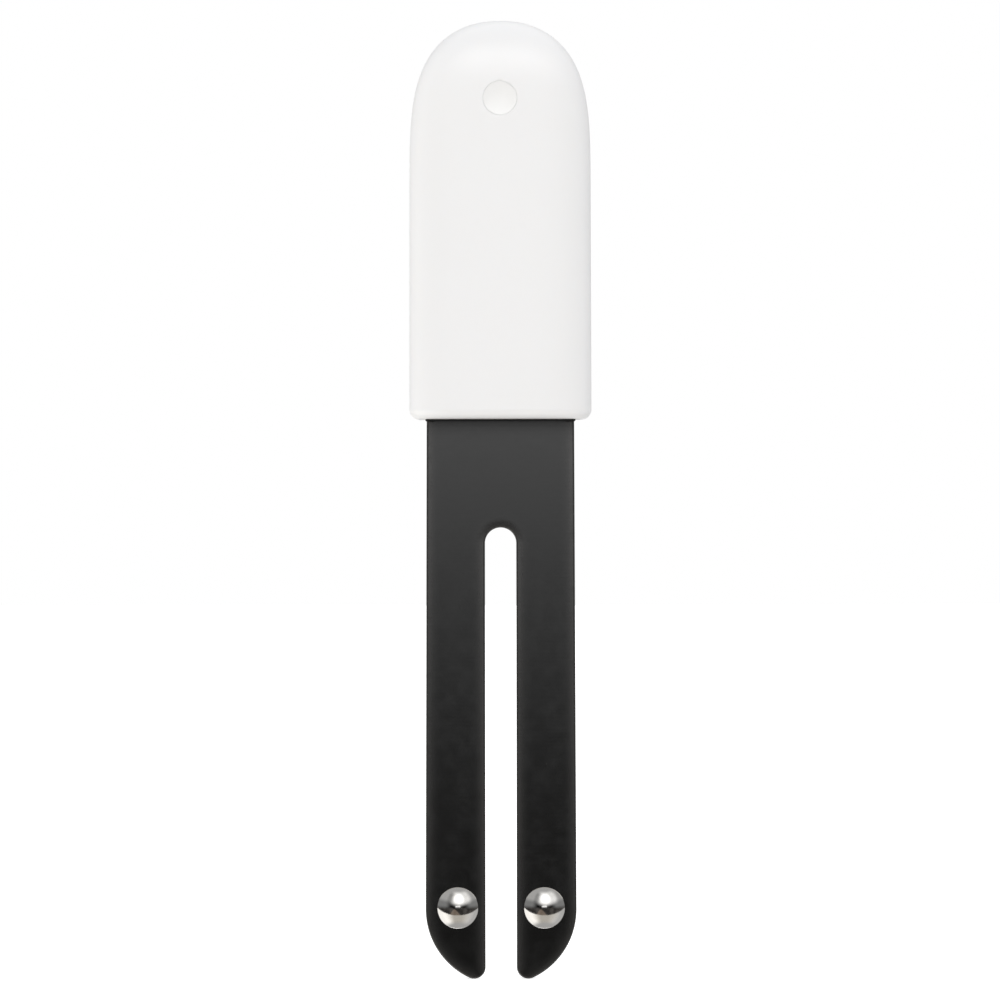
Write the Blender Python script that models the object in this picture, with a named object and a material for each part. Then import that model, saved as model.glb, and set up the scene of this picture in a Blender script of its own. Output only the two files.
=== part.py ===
"""Plant soil sensor: a black circuit board blade with two tines under a white pull-off cap.

Run with: blender --background --python part.py

Frame: metres, +Z up along the sensor's length, +X to the right, the front faces -Y.
The origin is where the board leaves the housing: the centre of its section, level
with the housing's underside. The cap slides off along +Z, on the axis through the
origin. Dimensions below are in millimetres and are turned into metres by MM.
"""

import math

import bmesh
import bpy

MM = 0.001

# ---------------------------------------------------------------- driving dimensions
# Cap: a domed sleeve. Its section is a superellipse with a crowned front half and a
# boxier rear half, which leaves room for the coin cell.
CAP_H = 51.97            # top of the cap above its underside
CAP_A = 11.81           # half-width at mid height
CAP_B = 6.25            # half-depth
CAP_DRAFT = 0.0020      # half-width lost for each mm of height
CAP_N_FRONT = 4.2       # section exponents
CAP_N_REAR = 6.5
DOME_D = 22.76           # height over which the half-width rounds off
DOME_P = 3.83
DOME_Q = 2.13
SIDE_D = 9.5            # height over which the half-depth rounds off
SIDE_P = 2.7
SIDE_Q = 2.0
WALL = 1.5
RIM_R = 1.22            # rounding of the bottom edge
CAV_N_FRONT = 6.0       # section exponents of the cavity
CAV_N_REAR = 9.0

# Light window in the cap's front wall
WIN_Z = 41.35
WIN_R = 2.2
WIN_FLANGE_R = 2.75
WIN_RECESS = 0.20

# Circuit board
BOARD_T = 1.6
BLADE_W_TOP = 9.61      # half-width at the housing
BLADE_W_END = 9.82      # half-width at the start of the round end
END_Z = -63.84          # centre of the round end
SLOT_W = 2.04           # half-width of the slot
SLOT_TOP = -14.13
TIP_R = 1.50            # rounding between the slot and the round end
BOARD_IN_W = 8.5        # half-width inside the housing
SHOULDER_Z = 0.4        # where the board steps in, inside the plug
BOARD_TOP = 45.6
BOARD_ARC_Z = 35.0

# Electrodes
EL_X = 5.64
EL_Z = -63.64
EL_R = 2.68
EL_H = 1.05
EL_SHANK_R = 0.75
EL_HOLE_R = 0.88

# Housing inside the cap
PLUG_H = 4.5
SEAL_Z = 2.45
SEAL_R = 0.39
CHASSIS_Z0 = 4.75
CHASSIS_TOP = 46.4
POST_R = 0.85
POST_HOLE_R = 1.0
POSTS = ((-7.0, 7.2), (7.0, 7.2), (-6.6, 33.0), (6.6, 33.0))

# Coin cell, 20 mm across and 3.2 mm thick, with its small face to the board
CELL_Z = 17.6
CELL_R = 10.0
CELL_Y0 = 1.12
CELL_T = 3.2


# ---------------------------------------------------------------- helpers
def clear_scene():
    for ob in list(bpy.data.objects):
        bpy.data.objects.remove(ob, do_unlink=True)


def material(name, rgb, rough, metal=0.0, alpha=1.0, trans=0.0):
    mat = bpy.data.materials.new(name)
    mat.use_nodes = True
    bsdf = mat.node_tree.nodes["Principled BSDF"]
    bsdf.inputs["Base Color"].default_value = (*rgb, 1.0)
    bsdf.inputs["Roughness"].default_value = rough
    bsdf.inputs["Metallic"].default_value = metal
    bsdf.inputs["Alpha"].default_value = alpha
    bsdf.inputs["Transmission Weight"].default_value = trans
    mat.diffuse_color = (*rgb, alpha)
    return mat


def finish(name, bm, mat, origin=(0.0, 0.0, 0.0), angle=35.0, smooth=True):
    """Turn a bmesh in millimetres, in world coordinates, into an object whose origin is at origin."""
    ox, oy, oz = origin
    for v in bm.verts:
        v.co.x = (v.co.x - ox) * MM
        v.co.y = (v.co.y - oy) * MM
        v.co.z = (v.co.z - oz) * MM
    bmesh.ops.recalc_face_normals(bm, faces=bm.faces)
    me = bpy.data.meshes.new(name)
    bm.to_mesh(me)
    bm.free()
    if smooth:
        me.shade_smooth()
        me.set_sharp_from_angle(angle=math.radians(angle))
    ob = bpy.data.objects.new(name, me)
    ob.location = (ox * MM, oy * MM, oz * MM)
    bpy.context.scene.collection.objects.link(ob)
    if mat is not None:
        me.materials.append(mat)
    return ob


def cut(ob, cutter, operation="DIFFERENCE"):
    cutter.hide_render = True
    cutter.display_type = "WIRE"
    mod = ob.modifiers.new("cut_" + cutter.name, "BOOLEAN")
    mod.operation = operation
    mod.solver = "EXACT"
    mod.object = cutter
    return mod


def oval(a, b, n_front, n_rear, count=56):
    """Points round a superellipse section, denser where it turns, symmetric left to right.

    The front half (negative y) has exponent n_front and the rear half n_rear.
    """
    quarter = count // 4

    def quarter_points(n):
        dense = []
        for i in range(721):
            t = 0.5 * math.pi * i / 720
            dense.append((a * math.cos(t) ** (2.0 / n), b * math.sin(t) ** (2.0 / n)))
        length = [0.0]
        for (x0, y0), (x1, y1) in zip(dense, dense[1:]):
            length.append(length[-1] + math.hypot(x1 - x0, y1 - y0))
        weight = [0.0]
        for i in range(1, len(dense)):
            (x0, y0), (x1, y1) = dense[i - 1], dense[i]
            nx0, ny0 = (abs(x0) / a) ** (n - 1) / a, (abs(y0) / b) ** (n - 1) / b
            nx1, ny1 = (abs(x1) / a) ** (n - 1) / a, (abs(y1) / b) ** (n - 1) / b
            turn = abs(math.atan2(ny1, nx1) - math.atan2(ny0, nx0))
            weight.append(weight[-1] + (length[i] - length[i - 1]) / length[-1] + 0.9 * turn)
        out = []
        j = 0
        for k in range(quarter + 1):
            want = weight[-1] * k / quarter
            while j < len(weight) - 2 and weight[j + 1] < want:
                j += 1
            span = weight[j + 1] - weight[j]
            f = 0.0 if span <= 0 else (want - weight[j]) / span
            out.append((dense[j][0] + f * (dense[j + 1][0] - dense[j][0]),
                        dense[j][1] + f * (dense[j + 1][1] - dense[j][1])))
        out[0], out[-1] = (a, 0.0), (0.0, b)
        return out

    rear, front = quarter_points(n_rear), quarter_points(n_front)
    pts = rear[:-1]
    pts += [(-x, y) for x, y in reversed(rear)][:-1]
    pts += [(-x, -y) for x, y in front][:-1]
    pts += [(x, -y) for x, y in reversed(front)][:-1]
    return pts


def rise(u, p, q):
    """How far a dome's half-width has grown at fraction u of its height, from 0 at the top to 1."""
    u = min(max(u, 0.0), 1.0)
    return (1.0 - (1.0 - u) ** p) ** (1.0 / q)


def cap_section(z):
    d = CAP_H - z
    a = (CAP_A - CAP_DRAFT * (z - 25.0)) * rise(d / DOME_D, DOME_P, DOME_Q)
    b = CAP_B * rise(d / SIDE_D, SIDE_P, SIDE_Q)
    w = rise(d / 13.0, 2.0, 1.4)
    return a, b, 2.2 + (CAP_N_FRONT - 2.2) * w, 2.2 + (CAP_N_REAR - 2.2) * w


def cavity_section(z, gap=0.0):
    """The cavity's section at height z, or the section of what fills it with a gap all round."""
    d = CAP_H - WALL - z
    a = (CAP_A - WALL - CAP_DRAFT * (z - 25.0)) * rise(d / DOME_D, DOME_P, DOME_Q)
    b = (CAP_B - WALL) * rise(d / (SIDE_D - 1.0), SIDE_P, SIDE_Q)
    w = rise(d / 12.0, 2.0, 1.4)
    return (a - gap, b - gap, 2.4 + (CAV_N_FRONT - 0.6 * gap - 2.4) * w,
            2.4 + (CAV_N_REAR - 1.2 * gap - 2.4) * w)


def loft(bm, sections, closed_ends=True, tip_low=None, tip_high=None, count=56):
    """Bridge superellipse sections (z, a, b, n_front, n_rear) from low to high."""
    rings = []
    for z, a, b, nf, nr in sections:
        rings.append([bm.verts.new((x, y, z)) for x, y in oval(a, b, nf, nr, count)])
    for low, high in zip(rings, rings[1:]):
        for i in range(count):
            j = (i + 1) % count
            bm.faces.new((low[i], low[j], high[j], high[i]))
    if tip_high is not None:
        top = bm.verts.new((0.0, 0.0, tip_high))
        for i in range(count):
            bm.faces.new((rings[-1][i], rings[-1][(i + 1) % count], top))
    elif closed_ends:
        bm.faces.new(rings[-1])
    if tip_low is not None:
        low = bm.verts.new((0.0, 0.0, tip_low))
        for i in range(count):
            bm.faces.new((rings[0][(i + 1) % count], rings[0][i], low))
    elif closed_ends:
        bm.faces.new(list(reversed(rings[0])))
    return rings


def prism(name, outline, y0, y1, mat, origin=(0.0, 0.0, 0.0), angle=35.0):
    """A plate with an outline in the XZ plane, from y0 to y1."""
    bm = bmesh.new()
    front = [bm.verts.new((x, y0, z)) for x, z in outline]
    back = [bm.verts.new((x, y1, z)) for x, z in outline]
    bm.faces.new(front)
    bm.faces.new(list(reversed(back)))
    n = len(outline)
    for i in range(n):
        j = (i + 1) % n
        bm.faces.new((front[i], front[j], back[j], back[i]))
    return finish(name, bm, mat, origin, angle)


def strip(name, outline, x0, x1, mat, origin=(0.0, 0.0, 0.0), angle=35.0):
    """A folded strip with an outline in the YZ plane, from x0 to x1."""
    bm = bmesh.new()
    left = [bm.verts.new((x0, y, z)) for y, z in outline]
    right = [bm.verts.new((x1, y, z)) for y, z in outline]
    bm.faces.new(left)
    bm.faces.new(list(reversed(right)))
    n = len(outline)
    for i in range(n):
        j = (i + 1) % n
        bm.faces.new((left[i], left[j], right[j], right[i]))
    return finish(name, bm, mat, origin, angle)


def turned(name, profile, centre, mat, steps=28, angle=35.0, solid=True):
    """A round piece about the Y axis through centre = (x, z).

    profile is a list of (radius, y). A solid piece's profile starts and ends on the
    axis; a ring's profile is a closed loop.
    """
    cx, cz = centre
    bm = bmesh.new()
    rows = []
    for r, y in profile:
        if r <= 1e-6:
            rows.append([bm.verts.new((cx, y, cz))])
        else:
            rows.append([bm.verts.new((cx + r * math.cos(2 * math.pi * k / steps), y,
                                       cz + r * math.sin(2 * math.pi * k / steps))) for k in range(steps)])
    pairs = list(zip(rows, rows[1:]))
    if not solid:
        pairs.append((rows[-1], rows[0]))
    for lo, hi in pairs:
        for k in range(steps):
            m = (k + 1) % steps
            if len(lo) == 1 and len(hi) == 1:
                continue
            if len(lo) == 1:
                bm.faces.new((lo[0], hi[m], hi[k]))
            elif len(hi) == 1:
                bm.faces.new((lo[k], lo[m], hi[0]))
            else:
                bm.faces.new((lo[k], lo[m], hi[m], hi[k]))
    return finish(name, bm, mat, (cx, profile[0][1], cz), angle)


def box(name, lo, hi, mat, edge=0.0, origin=None):
    bm = bmesh.new()
    bmesh.ops.create_cube(bm, size=1.0)
    for v in bm.verts:
        v.co = [lo[i] + (v.co[i] + 0.5) * (hi[i] - lo[i]) for i in range(3)]
    if edge:
        bmesh.ops.bevel(bm, geom=list(bm.edges), offset=edge, segments=1, affect="EDGES", profile=0.5)
    centre = origin or tuple(0.5 * (lo[i] + hi[i]) for i in range(3))
    return finish(name, bm, mat, centre, 30.0, smooth=False)


def rod_cutter(name, x, z, r, y0, y1, steps=24):
    return turned(name, [(0.0, y0), (r, y0), (r, y1), (0.0, y1)], (x, z), None, steps)


def arc(cx, cz, r, a0, a1, steps):
    """Points on an arc from angle a0 to a1 in degrees, both ends included."""
    return [(cx + r * math.cos(math.radians(a0 + (a1 - a0) * i / steps)),
             cz + r * math.sin(math.radians(a0 + (a1 - a0) * i / steps))) for i in range(steps + 1)]


# ---------------------------------------------------------------- pieces
def make_cap(mat):
    """The cap: an outer skin with a rounded bottom edge, an inner skin, and the stepped window hole."""
    outer = []
    for k in range(6):
        t = 0.5 * math.pi * k / 5
        z = RIM_R * (1.0 - math.cos(t))
        inset = RIM_R * (1.0 - math.sin(t))
        a, b, nf, nr = cap_section(z)
        outer.append((z, a - inset, b - inset, nf + 0.9 * inset, nr + 1.6 * inset))
    outer.append((13.0, *cap_section(13.0)))
    steps = 13
    for k in range(steps):
        s = 1.0 - k / steps
        z = CAP_H - DOME_D * s * s
        outer.append((z, *cap_section(z)))
    outer.append((CAP_H - 0.05, *cap_section(CAP_H - 0.05)))
    inner = [(0.0, *cavity_section(0.0)), (12.0, *cavity_section(12.0))]
    steps = 8
    for k in range(steps):
        s = 1.0 - k / steps
        z = CAP_H - WALL - DOME_D * s * s
        inner.append((z, *cavity_section(z)))
    inner.append((CAP_H - WALL - 0.06, *cavity_section(CAP_H - WALL - 0.06)))
    bm = bmesh.new()
    count = 48
    o = loft(bm, outer, closed_ends=False, tip_high=CAP_H, count=count)
    i = loft(bm, inner, closed_ends=False, tip_high=CAP_H - WALL, count=count)
    for k in range(count):
        m = (k + 1) % count
        bm.faces.new((o[0][m], o[0][k], i[0][k], i[0][m]))
    cap = finish("cap_shell", bm, mat)
    front = -CAP_B
    cutter = turned("window_hole_cutter",
                    [(0.0, front - 1.0), (WIN_R, front - 1.0), (WIN_R, front + 0.85), (WIN_FLANGE_R, front + 0.85),
                     (WIN_FLANGE_R, front + WALL + 1.2), (0.0, front + WALL + 1.2)], (0.0, WIN_Z), None, 32)
    cut(cap, cutter)
    return cap


def make_window(mat):
    front = -CAP_B
    face = front + WIN_RECESS
    r = WIN_R - 0.05
    f = WIN_FLANGE_R - 0.06
    profile = [(0.0, face + 0.16), (0.7 * r, face + 0.08), (0.9 * r, face + 0.0), (r, face + 0.05), (r, front + 0.90),
               (f, front + 0.90), (f, front + WALL - 0.03), (0.0, front + WALL - 0.03)]
    return turned("light_window", profile, (0.0, WIN_Z), mat, 32)


def board_outline():
    """The board's outline, from the slot's top round the right tine, up into the housing and back down the left."""
    top_c = SLOT_TOP - SLOT_W
    right = arc(0.0, top_c, SLOT_W, 90, 0, 8)
    fx = SLOT_W + TIP_R
    reach = BLADE_W_END - TIP_R
    fz = END_Z - math.sqrt(reach * reach - fx * fx)
    angle = math.degrees(math.atan2(fz - END_Z, fx))
    right += arc(fx, fz, TIP_R, 180, 360 + angle, 8)
    right += arc(0.0, END_Z, BLADE_W_END, angle, 0, 12)[1:]
    right += [(BLADE_W_TOP, 0.0), (BLADE_W_TOP, SHOULDER_Z - 0.12), (BLADE_W_TOP - 0.12, SHOULDER_Z),
              (BOARD_IN_W, SHOULDER_Z)]
    height = BOARD_TOP - BOARD_ARC_Z
    for k in range(12):
        t = 0.5 * math.pi * k / 12
        right.append((BOARD_IN_W * math.cos(t) ** 0.92, BOARD_ARC_Z + height * math.sin(t) ** 0.92))
    left = [(-x, z) for x, z in reversed(right[1:])]
    return [right[0]] + right[1:] + [(0.0, BOARD_TOP)] + left


def make_board(mat):
    board = prism("probe_board", board_outline(), -BOARD_T / 2, BOARD_T / 2, mat)
    for side, x in (("left", -EL_X), ("right", EL_X)):
        cut(board, rod_cutter("electrode_hole_cutter_" + side, x, EL_Z, EL_HOLE_R, -2.0, 2.0))
    for k, (x, z) in enumerate(POSTS):
        cut(board, rod_cutter("post_hole_cutter_%d" % (k + 1), x, z, POST_HOLE_R, -2.0, 2.0, 20))
    return board


def make_electrode(name, x, mat):
    """A domed head on the front of the board with a shank through its hole."""
    sphere = (EL_R * EL_R + EL_H * EL_H) / (2 * EL_H)
    base = -BOARD_T / 2 - 0.05
    top = base - EL_H
    profile = [(0.0, top)]
    for k in range(1, 8):
        t = math.asin(EL_R / sphere) * k / 7
        profile.append((sphere * math.sin(t), top + sphere * (1 - math.cos(t))))
    profile += [(EL_SHANK_R, base), (EL_SHANK_R, BOARD_T / 2 + 0.62), (0.6, BOARD_T / 2 + 0.75), (0.0, BOARD_T / 2 + 0.75)]
    return turned(name, profile, (x, EL_Z), mat, 24)


def make_collar(name, x, mat):
    y = BOARD_T / 2 + 0.05
    loop = [(EL_SHANK_R + 0.06, y), (1.9, y), (1.9, y + 0.12), (1.35, y + 0.5), (EL_SHANK_R + 0.06, y + 0.5)]
    return turned(name, loop, (x, EL_Z), mat, 20, solid=False)


def make_plug(mat):
    """The plug that fills the cap's mouth, with a groove for the ring and a slot for the board."""
    def at(z, gap, dnf=0.0, dnr=0.0):
        a, b, nf, nr = cavity_section(z, gap)
        return (z, a, b, nf + dnf, nr + dnr)
    g = 0.12
    sections = [at(0.0, g), at(SEAL_Z - 0.55, g), at(SEAL_Z - 0.5, g + 0.8, -0.5, -1.2),
                at(SEAL_Z + 0.5, g + 0.8, -0.5, -1.2), at(SEAL_Z + 0.55, g), at(PLUG_H, g)]
    bm = bmesh.new()
    loft(bm, sections, count=44)
    plug = finish("base_plug", bm, mat)
    cut(plug, box("board_slot_cutter", (-BOARD_IN_W - 0.45, -1.12, 0.5), (BOARD_IN_W + 0.45, 1.12, PLUG_H + 1.0), None))
    cut(plug, box("shoulder_pocket_cutter", (-9.87, -1.12, -1.0), (9.87, 1.12, 0.98), None))
    return plug


def make_blade_seal(mat):
    """The rubber collar between the plug's slot and the board, stepped like the board, with a lip just under the plug."""
    t, hole_t = 1.02, BOARD_T / 2 + 0.04
    wide, narrow = BLADE_W_TOP + 0.16, BOARD_IN_W + 0.36
    hole_wide, hole_narrow = BLADE_W_TOP + 0.04, BOARD_IN_W + 0.04
    bm = bmesh.new()

    def loop(x, y, z, r, steps=3):
        pts = []
        for cx, cy, a0 in ((x - r, y - r, 0), (-x + r, y - r, 90), (-x + r, -y + r, 180), (x - r, -y + r, 270)):
            for i in range(steps + 1):
                t0 = math.radians(a0 + 90 * i / steps)
                pts.append(bm.verts.new((cx + r * math.cos(t0), cy + r * math.sin(t0), z)))
        return pts

    rows = [loop(wide, t, -0.26, 0.4), loop(wide, t, 0.86, 0.4), loop(narrow, t, 0.86, 0.4), loop(narrow, t, 2.6, 0.4),
            loop(hole_narrow, hole_t, 2.6, 0.02), loop(hole_narrow, hole_t, SHOULDER_Z + 0.06, 0.02),
            loop(hole_wide, hole_t, SHOULDER_Z + 0.06, 0.02), loop(hole_wide, hole_t, -0.26, 0.02)]
    for lo, hi in zip(rows, rows[1:] + rows[:1]):
        n = len(lo)
        for k in range(n):
            m = (k + 1) % n
            bm.faces.new((lo[k], lo[m], hi[m], hi[k]))
    return finish("blade_seal", bm, mat, (0.0, 0.0, -0.26))


def make_seal_ring(mat):
    """A round-section ring along the plug's groove, a hair clear of the cap's wall."""
    a, b, nf, nr = cavity_section(SEAL_Z)
    inset = 0.05 + SEAL_R
    path = oval(a - inset, b - inset, nf - 0.5, nr - 1.0, 44)
    n = len(path)
    bm = bmesh.new()
    rings = []
    for i in range(n):
        x0, y0 = path[i - 1]
        x1, y1 = path[(i + 1) % n]
        tx, ty = x1 - x0, y1 - y0
        length = math.hypot(tx, ty)
        nx, ny = ty / length, -tx / length
        ring = []
        for k in range(6):
            t = 2 * math.pi * k / 6
            ring.append(bm.verts.new((path[i][0] + nx * SEAL_R * math.cos(t), path[i][1] + ny * SEAL_R * math.cos(t),
                                      SEAL_Z + SEAL_R * math.sin(t))))
        rings.append(ring)
    for i in range(n):
        a0, a1 = rings[i], rings[(i + 1) % n]
        for k in range(6):
            m = (k + 1) % 6
            bm.faces.new((a0[k], a0[m], a1[m], a1[k]))
    return finish("seal_ring", bm, mat, (0.0, 0.0, SEAL_Z))


def chassis_loft(name, gap, mat, y_keep, z0=CHASSIS_Z0, z1=CHASSIS_TOP):
    """The part of the cavity's filling between z0 and z1, cut flat at y_keep = (y0, y1)."""
    zs = [z0, 24.0, 31.0, 36.0, 39.5, 42.0, 43.8, 45.2, z1]
    bm = bmesh.new()
    loft(bm, [(z, *cavity_section(z, gap)) for z in zs], count=36)
    ob = finish(name, bm, mat)
    y0, y1 = y_keep
    keep = box(name + "_keep_cutter", (-20.0, y0, z0 - 5.0), (20.0, y1, z1 + 5.0), None)
    cut(ob, keep, "INTERSECT")
    return ob


def make_chassis_front(mat):
    """The front frame: two side rails, cross bars and a boss round the light pipe."""
    ob = chassis_loft("chassis_front", 0.16, mat, (-20.0, -1.0))
    for name, lo, hi in (
            ("front_opening_low_cutter", (-8.7, 8.9), (8.7, 30.9)),
            ("front_opening_high_cutter", (-7.6, 35.1), (7.6, 38.2))):
        r = 0.9
        x0, z0, x1, z1 = lo[0], lo[1], hi[0], hi[1]
        outline = (arc(x1 - r, z0 + r, r, -90, 0, 3) + arc(x1 - r, z1 - r, r, 0, 90, 3)
                   + arc(x0 + r, z1 - r, r, 90, 180, 3) + arc(x0 + r, z0 + r, r, 180, 270, 3))
        cut(ob, prism(name, outline, -9.0, 0.0, None))
    cut(ob, box("front_pocket_cutter", (-6.9, -2.7, 38.2), (6.9, 0.0, 44.9), None))
    cut(ob, rod_cutter("pipe_hole_cutter", 0.0, WIN_Z, 2.15, -9.0, 0.0, 28))
    for k, (x, z) in enumerate(POSTS):
        cut(ob, rod_cutter("front_post_hole_cutter_%d" % (k + 1), x, z, POST_HOLE_R, -3.2, 0.0, 20))
    return ob


def make_battery_tray(mat):
    """The rear frame: side rails beside the board, the cell's round pocket and four posts through the board."""
    ob = chassis_loft("battery_tray", 0.16, mat, (-0.85, 20.0))
    w = BOARD_IN_W + 0.15
    cut(ob, box("board_space_cutter", (-w, -3.0, 0.0), (w, BOARD_T / 2 + 0.12, 36.0), None))
    cut(ob, box("board_space_top_cutter", (-20.0, -3.0, 34.0), (20.0, BOARD_T / 2 + 0.12, 60.0), None))
    cut(ob, rod_cutter("cell_pocket_cutter", 0.0, CELL_Z, CELL_R + 0.2, BOARD_T / 2 - 0.4, 9.0, 40))
    cut(ob, box("clip_channel_cutter", (-2.4, 0.0, 26.0), (2.4, 9.0, 31.4), None))
    cut(ob, box("tray_core_cutter", (-5.2, 0.0, 32.6), (5.2, 3.2, 43.5), None))
    for k, (x, z) in enumerate(POSTS):
        post = turned("post_adder_%d" % (k + 1),
                      [(0.0, -2.9), (POST_R - 0.15, -2.9), (POST_R, -2.7), (POST_R, 1.6), (0.0, 1.6)], (x, z), None, 16)
        cut(ob, post, "UNION")
    return ob


def make_light_pipe(mat):
    """A clear rod from just behind the window to just above the light sensor, with a flange behind the frame's panel."""
    y_front = -CAP_B + WALL + 0.28
    profile = [(0.0, y_front), (1.85, y_front), (2.02, y_front + 0.17), (2.02, -2.62), (2.7, -2.62), (2.7, -2.1),
               (1.9, -2.1), (1.7, -1.75), (0.0, -1.75)]
    return turned("light_pipe", profile, (0.0, WIN_Z), mat, 20)


def make_cell(can_mat, cap_mat, gasket_mat, anode_mat, paper_mat, cathode_mat):
    """A coin cell: a can crimped towards the board, its small cap, the gasket between them, and the discs inside."""
    y0, y1 = CELL_Y0, CELL_Y0 + CELL_T
    loop = [(0.0, y1 - 0.3), (CELL_R - 0.4, y1 - 0.3), (CELL_R - 0.25, y1 - 0.45), (CELL_R - 0.25, y0 + 0.5),
            (CELL_R - 1.15, y0 + 0.32), (CELL_R - 1.15, y0 + 0.1), (CELL_R - 0.35, y0 + 0.16), (CELL_R, y0 + 0.55),
            (CELL_R, y1 - 0.4), (CELL_R - 0.12, y1 - 0.12), (CELL_R - 0.4, y1), (0.0, y1)]
    turned("cell_can", loop, (0.0, CELL_Z), can_mat, 32)
    r = CELL_R - 1.35
    small = [(0.0, y0 + 0.02), (r - 0.55, y0 + 0.02), (r - 0.2, y0 + 0.12), (r, y0 + 0.4), (r, y0 + 0.72),
             (r - 0.25, y0 + 0.72), (r - 0.25, y0 + 0.42), (r - 0.6, y0 + 0.27), (0.0, y0 + 0.27)]
    turned("cell_cap", small, (0.0, CELL_Z), cap_mat, 32)
    ring = [(r + 0.05, y0 + 0.12), (CELL_R - 1.2, y0 + 0.12), (CELL_R - 1.2, y0 + 0.36), (CELL_R - 0.7, y0 + 0.5),
            (CELL_R - 0.7, y0 + 0.66), (r + 0.05, y0 + 0.66)]
    turned("cell_gasket", ring, (0.0, CELL_Z), gasket_mat, 32, solid=False)
    for name, radius, lo, hi, mat in (("cell_anode", r - 0.55, y0 + 0.30, y0 + 0.92, anode_mat),
                                      ("cell_separator", r + 0.3, y0 + 0.97, y0 + 1.09, paper_mat),
                                      ("cell_cathode", r, y0 + 1.14, y1 - 0.36, cathode_mat)):
        turned(name, [(0.0, lo), (radius, lo), (radius, hi), (0.0, hi)], (0.0, CELL_Z), mat, 24)


def make_contacts(mat):
    """The strip that reaches over the cell's rear face, and the sprung plate under its small face."""
    y = BOARD_T / 2 + 0.04
    t = 0.2
    over = CELL_Y0 + CELL_T + 0.06
    z_in, z_out = 27.95, 27.95 + t
    outline = [(y, 31.0), (y, z_out - 0.0), (y, z_in), (over, z_in), (over - 0.0, 24.0), (over + 0.14, 22.2),
               (over + 0.14 + t, 22.2), (over + t, 24.0), (over + t, z_out), (y + t, z_out), (y + t, 31.0)]
    clean = [outline[0]] + outline[2:]
    strip("positive_contact", clean, -2.0, 2.0, mat, (0.0, y, 28.0), 25.0)
    profile = [(0.0, y + 0.10), (1.6, y + 0.10), (3.4, y + 0.03), (4.6, y), (4.6, y + 0.12), (3.4, y + 0.15),
               (1.6, y + 0.22), (0.0, y + 0.22)]
    turned("negative_contact", profile, (0.0, CELL_Z), mat, 20)


def make_antenna(mat):
    """A printed meander near the board's top edge."""
    y0 = -BOARD_T / 2 - 0.02
    w = 0.4
    pitch = 0.95
    low, high = 43.3, 44.7
    turns = 7
    x0 = -pitch * turns / 2
    centre = [(x0, low - 0.9)]
    for k in range(turns + 1):
        x = x0 + k * pitch
        centre += [(x, high if k % 2 == 0 else low), (x + pitch, high if k % 2 == 0 else low)]
    centre = centre[:-1]
    # sides of the trace, offset by half its width with mitred square corners
    left, right = [], []
    h = w / 2
    for i, (x, z) in enumerate(centre):
        prev = centre[i - 1] if i else None
        nxt = centre[i + 1] if i + 1 < len(centre) else None

        def unit(p, q):
            d = math.hypot(q[0] - p[0], q[1] - p[1])
            return (q[0] - p[0]) / d, (q[1] - p[1]) / d

        d0 = unit(prev, (x, z)) if prev else unit((x, z), nxt)
        d1 = unit((x, z), nxt) if nxt else d0
        n0, n1 = (-d0[1], d0[0]), (-d1[1], d1[0])
        if abs(n0[0] - n1[0]) + abs(n0[1] - n1[1]) < 1e-6:
            ox, oz = n0
        else:
            ox, oz = n0[0] + n1[0], n0[1] + n1[1]
        left.append((x + ox * h, z + oz * h))
        right.append((x - ox * h, z - oz * h))
    outline = left + list(reversed(right))
    return prism("antenna_trace", outline, y0 - 0.1, y0, mat, (0.0, y0, 44.0))


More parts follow.
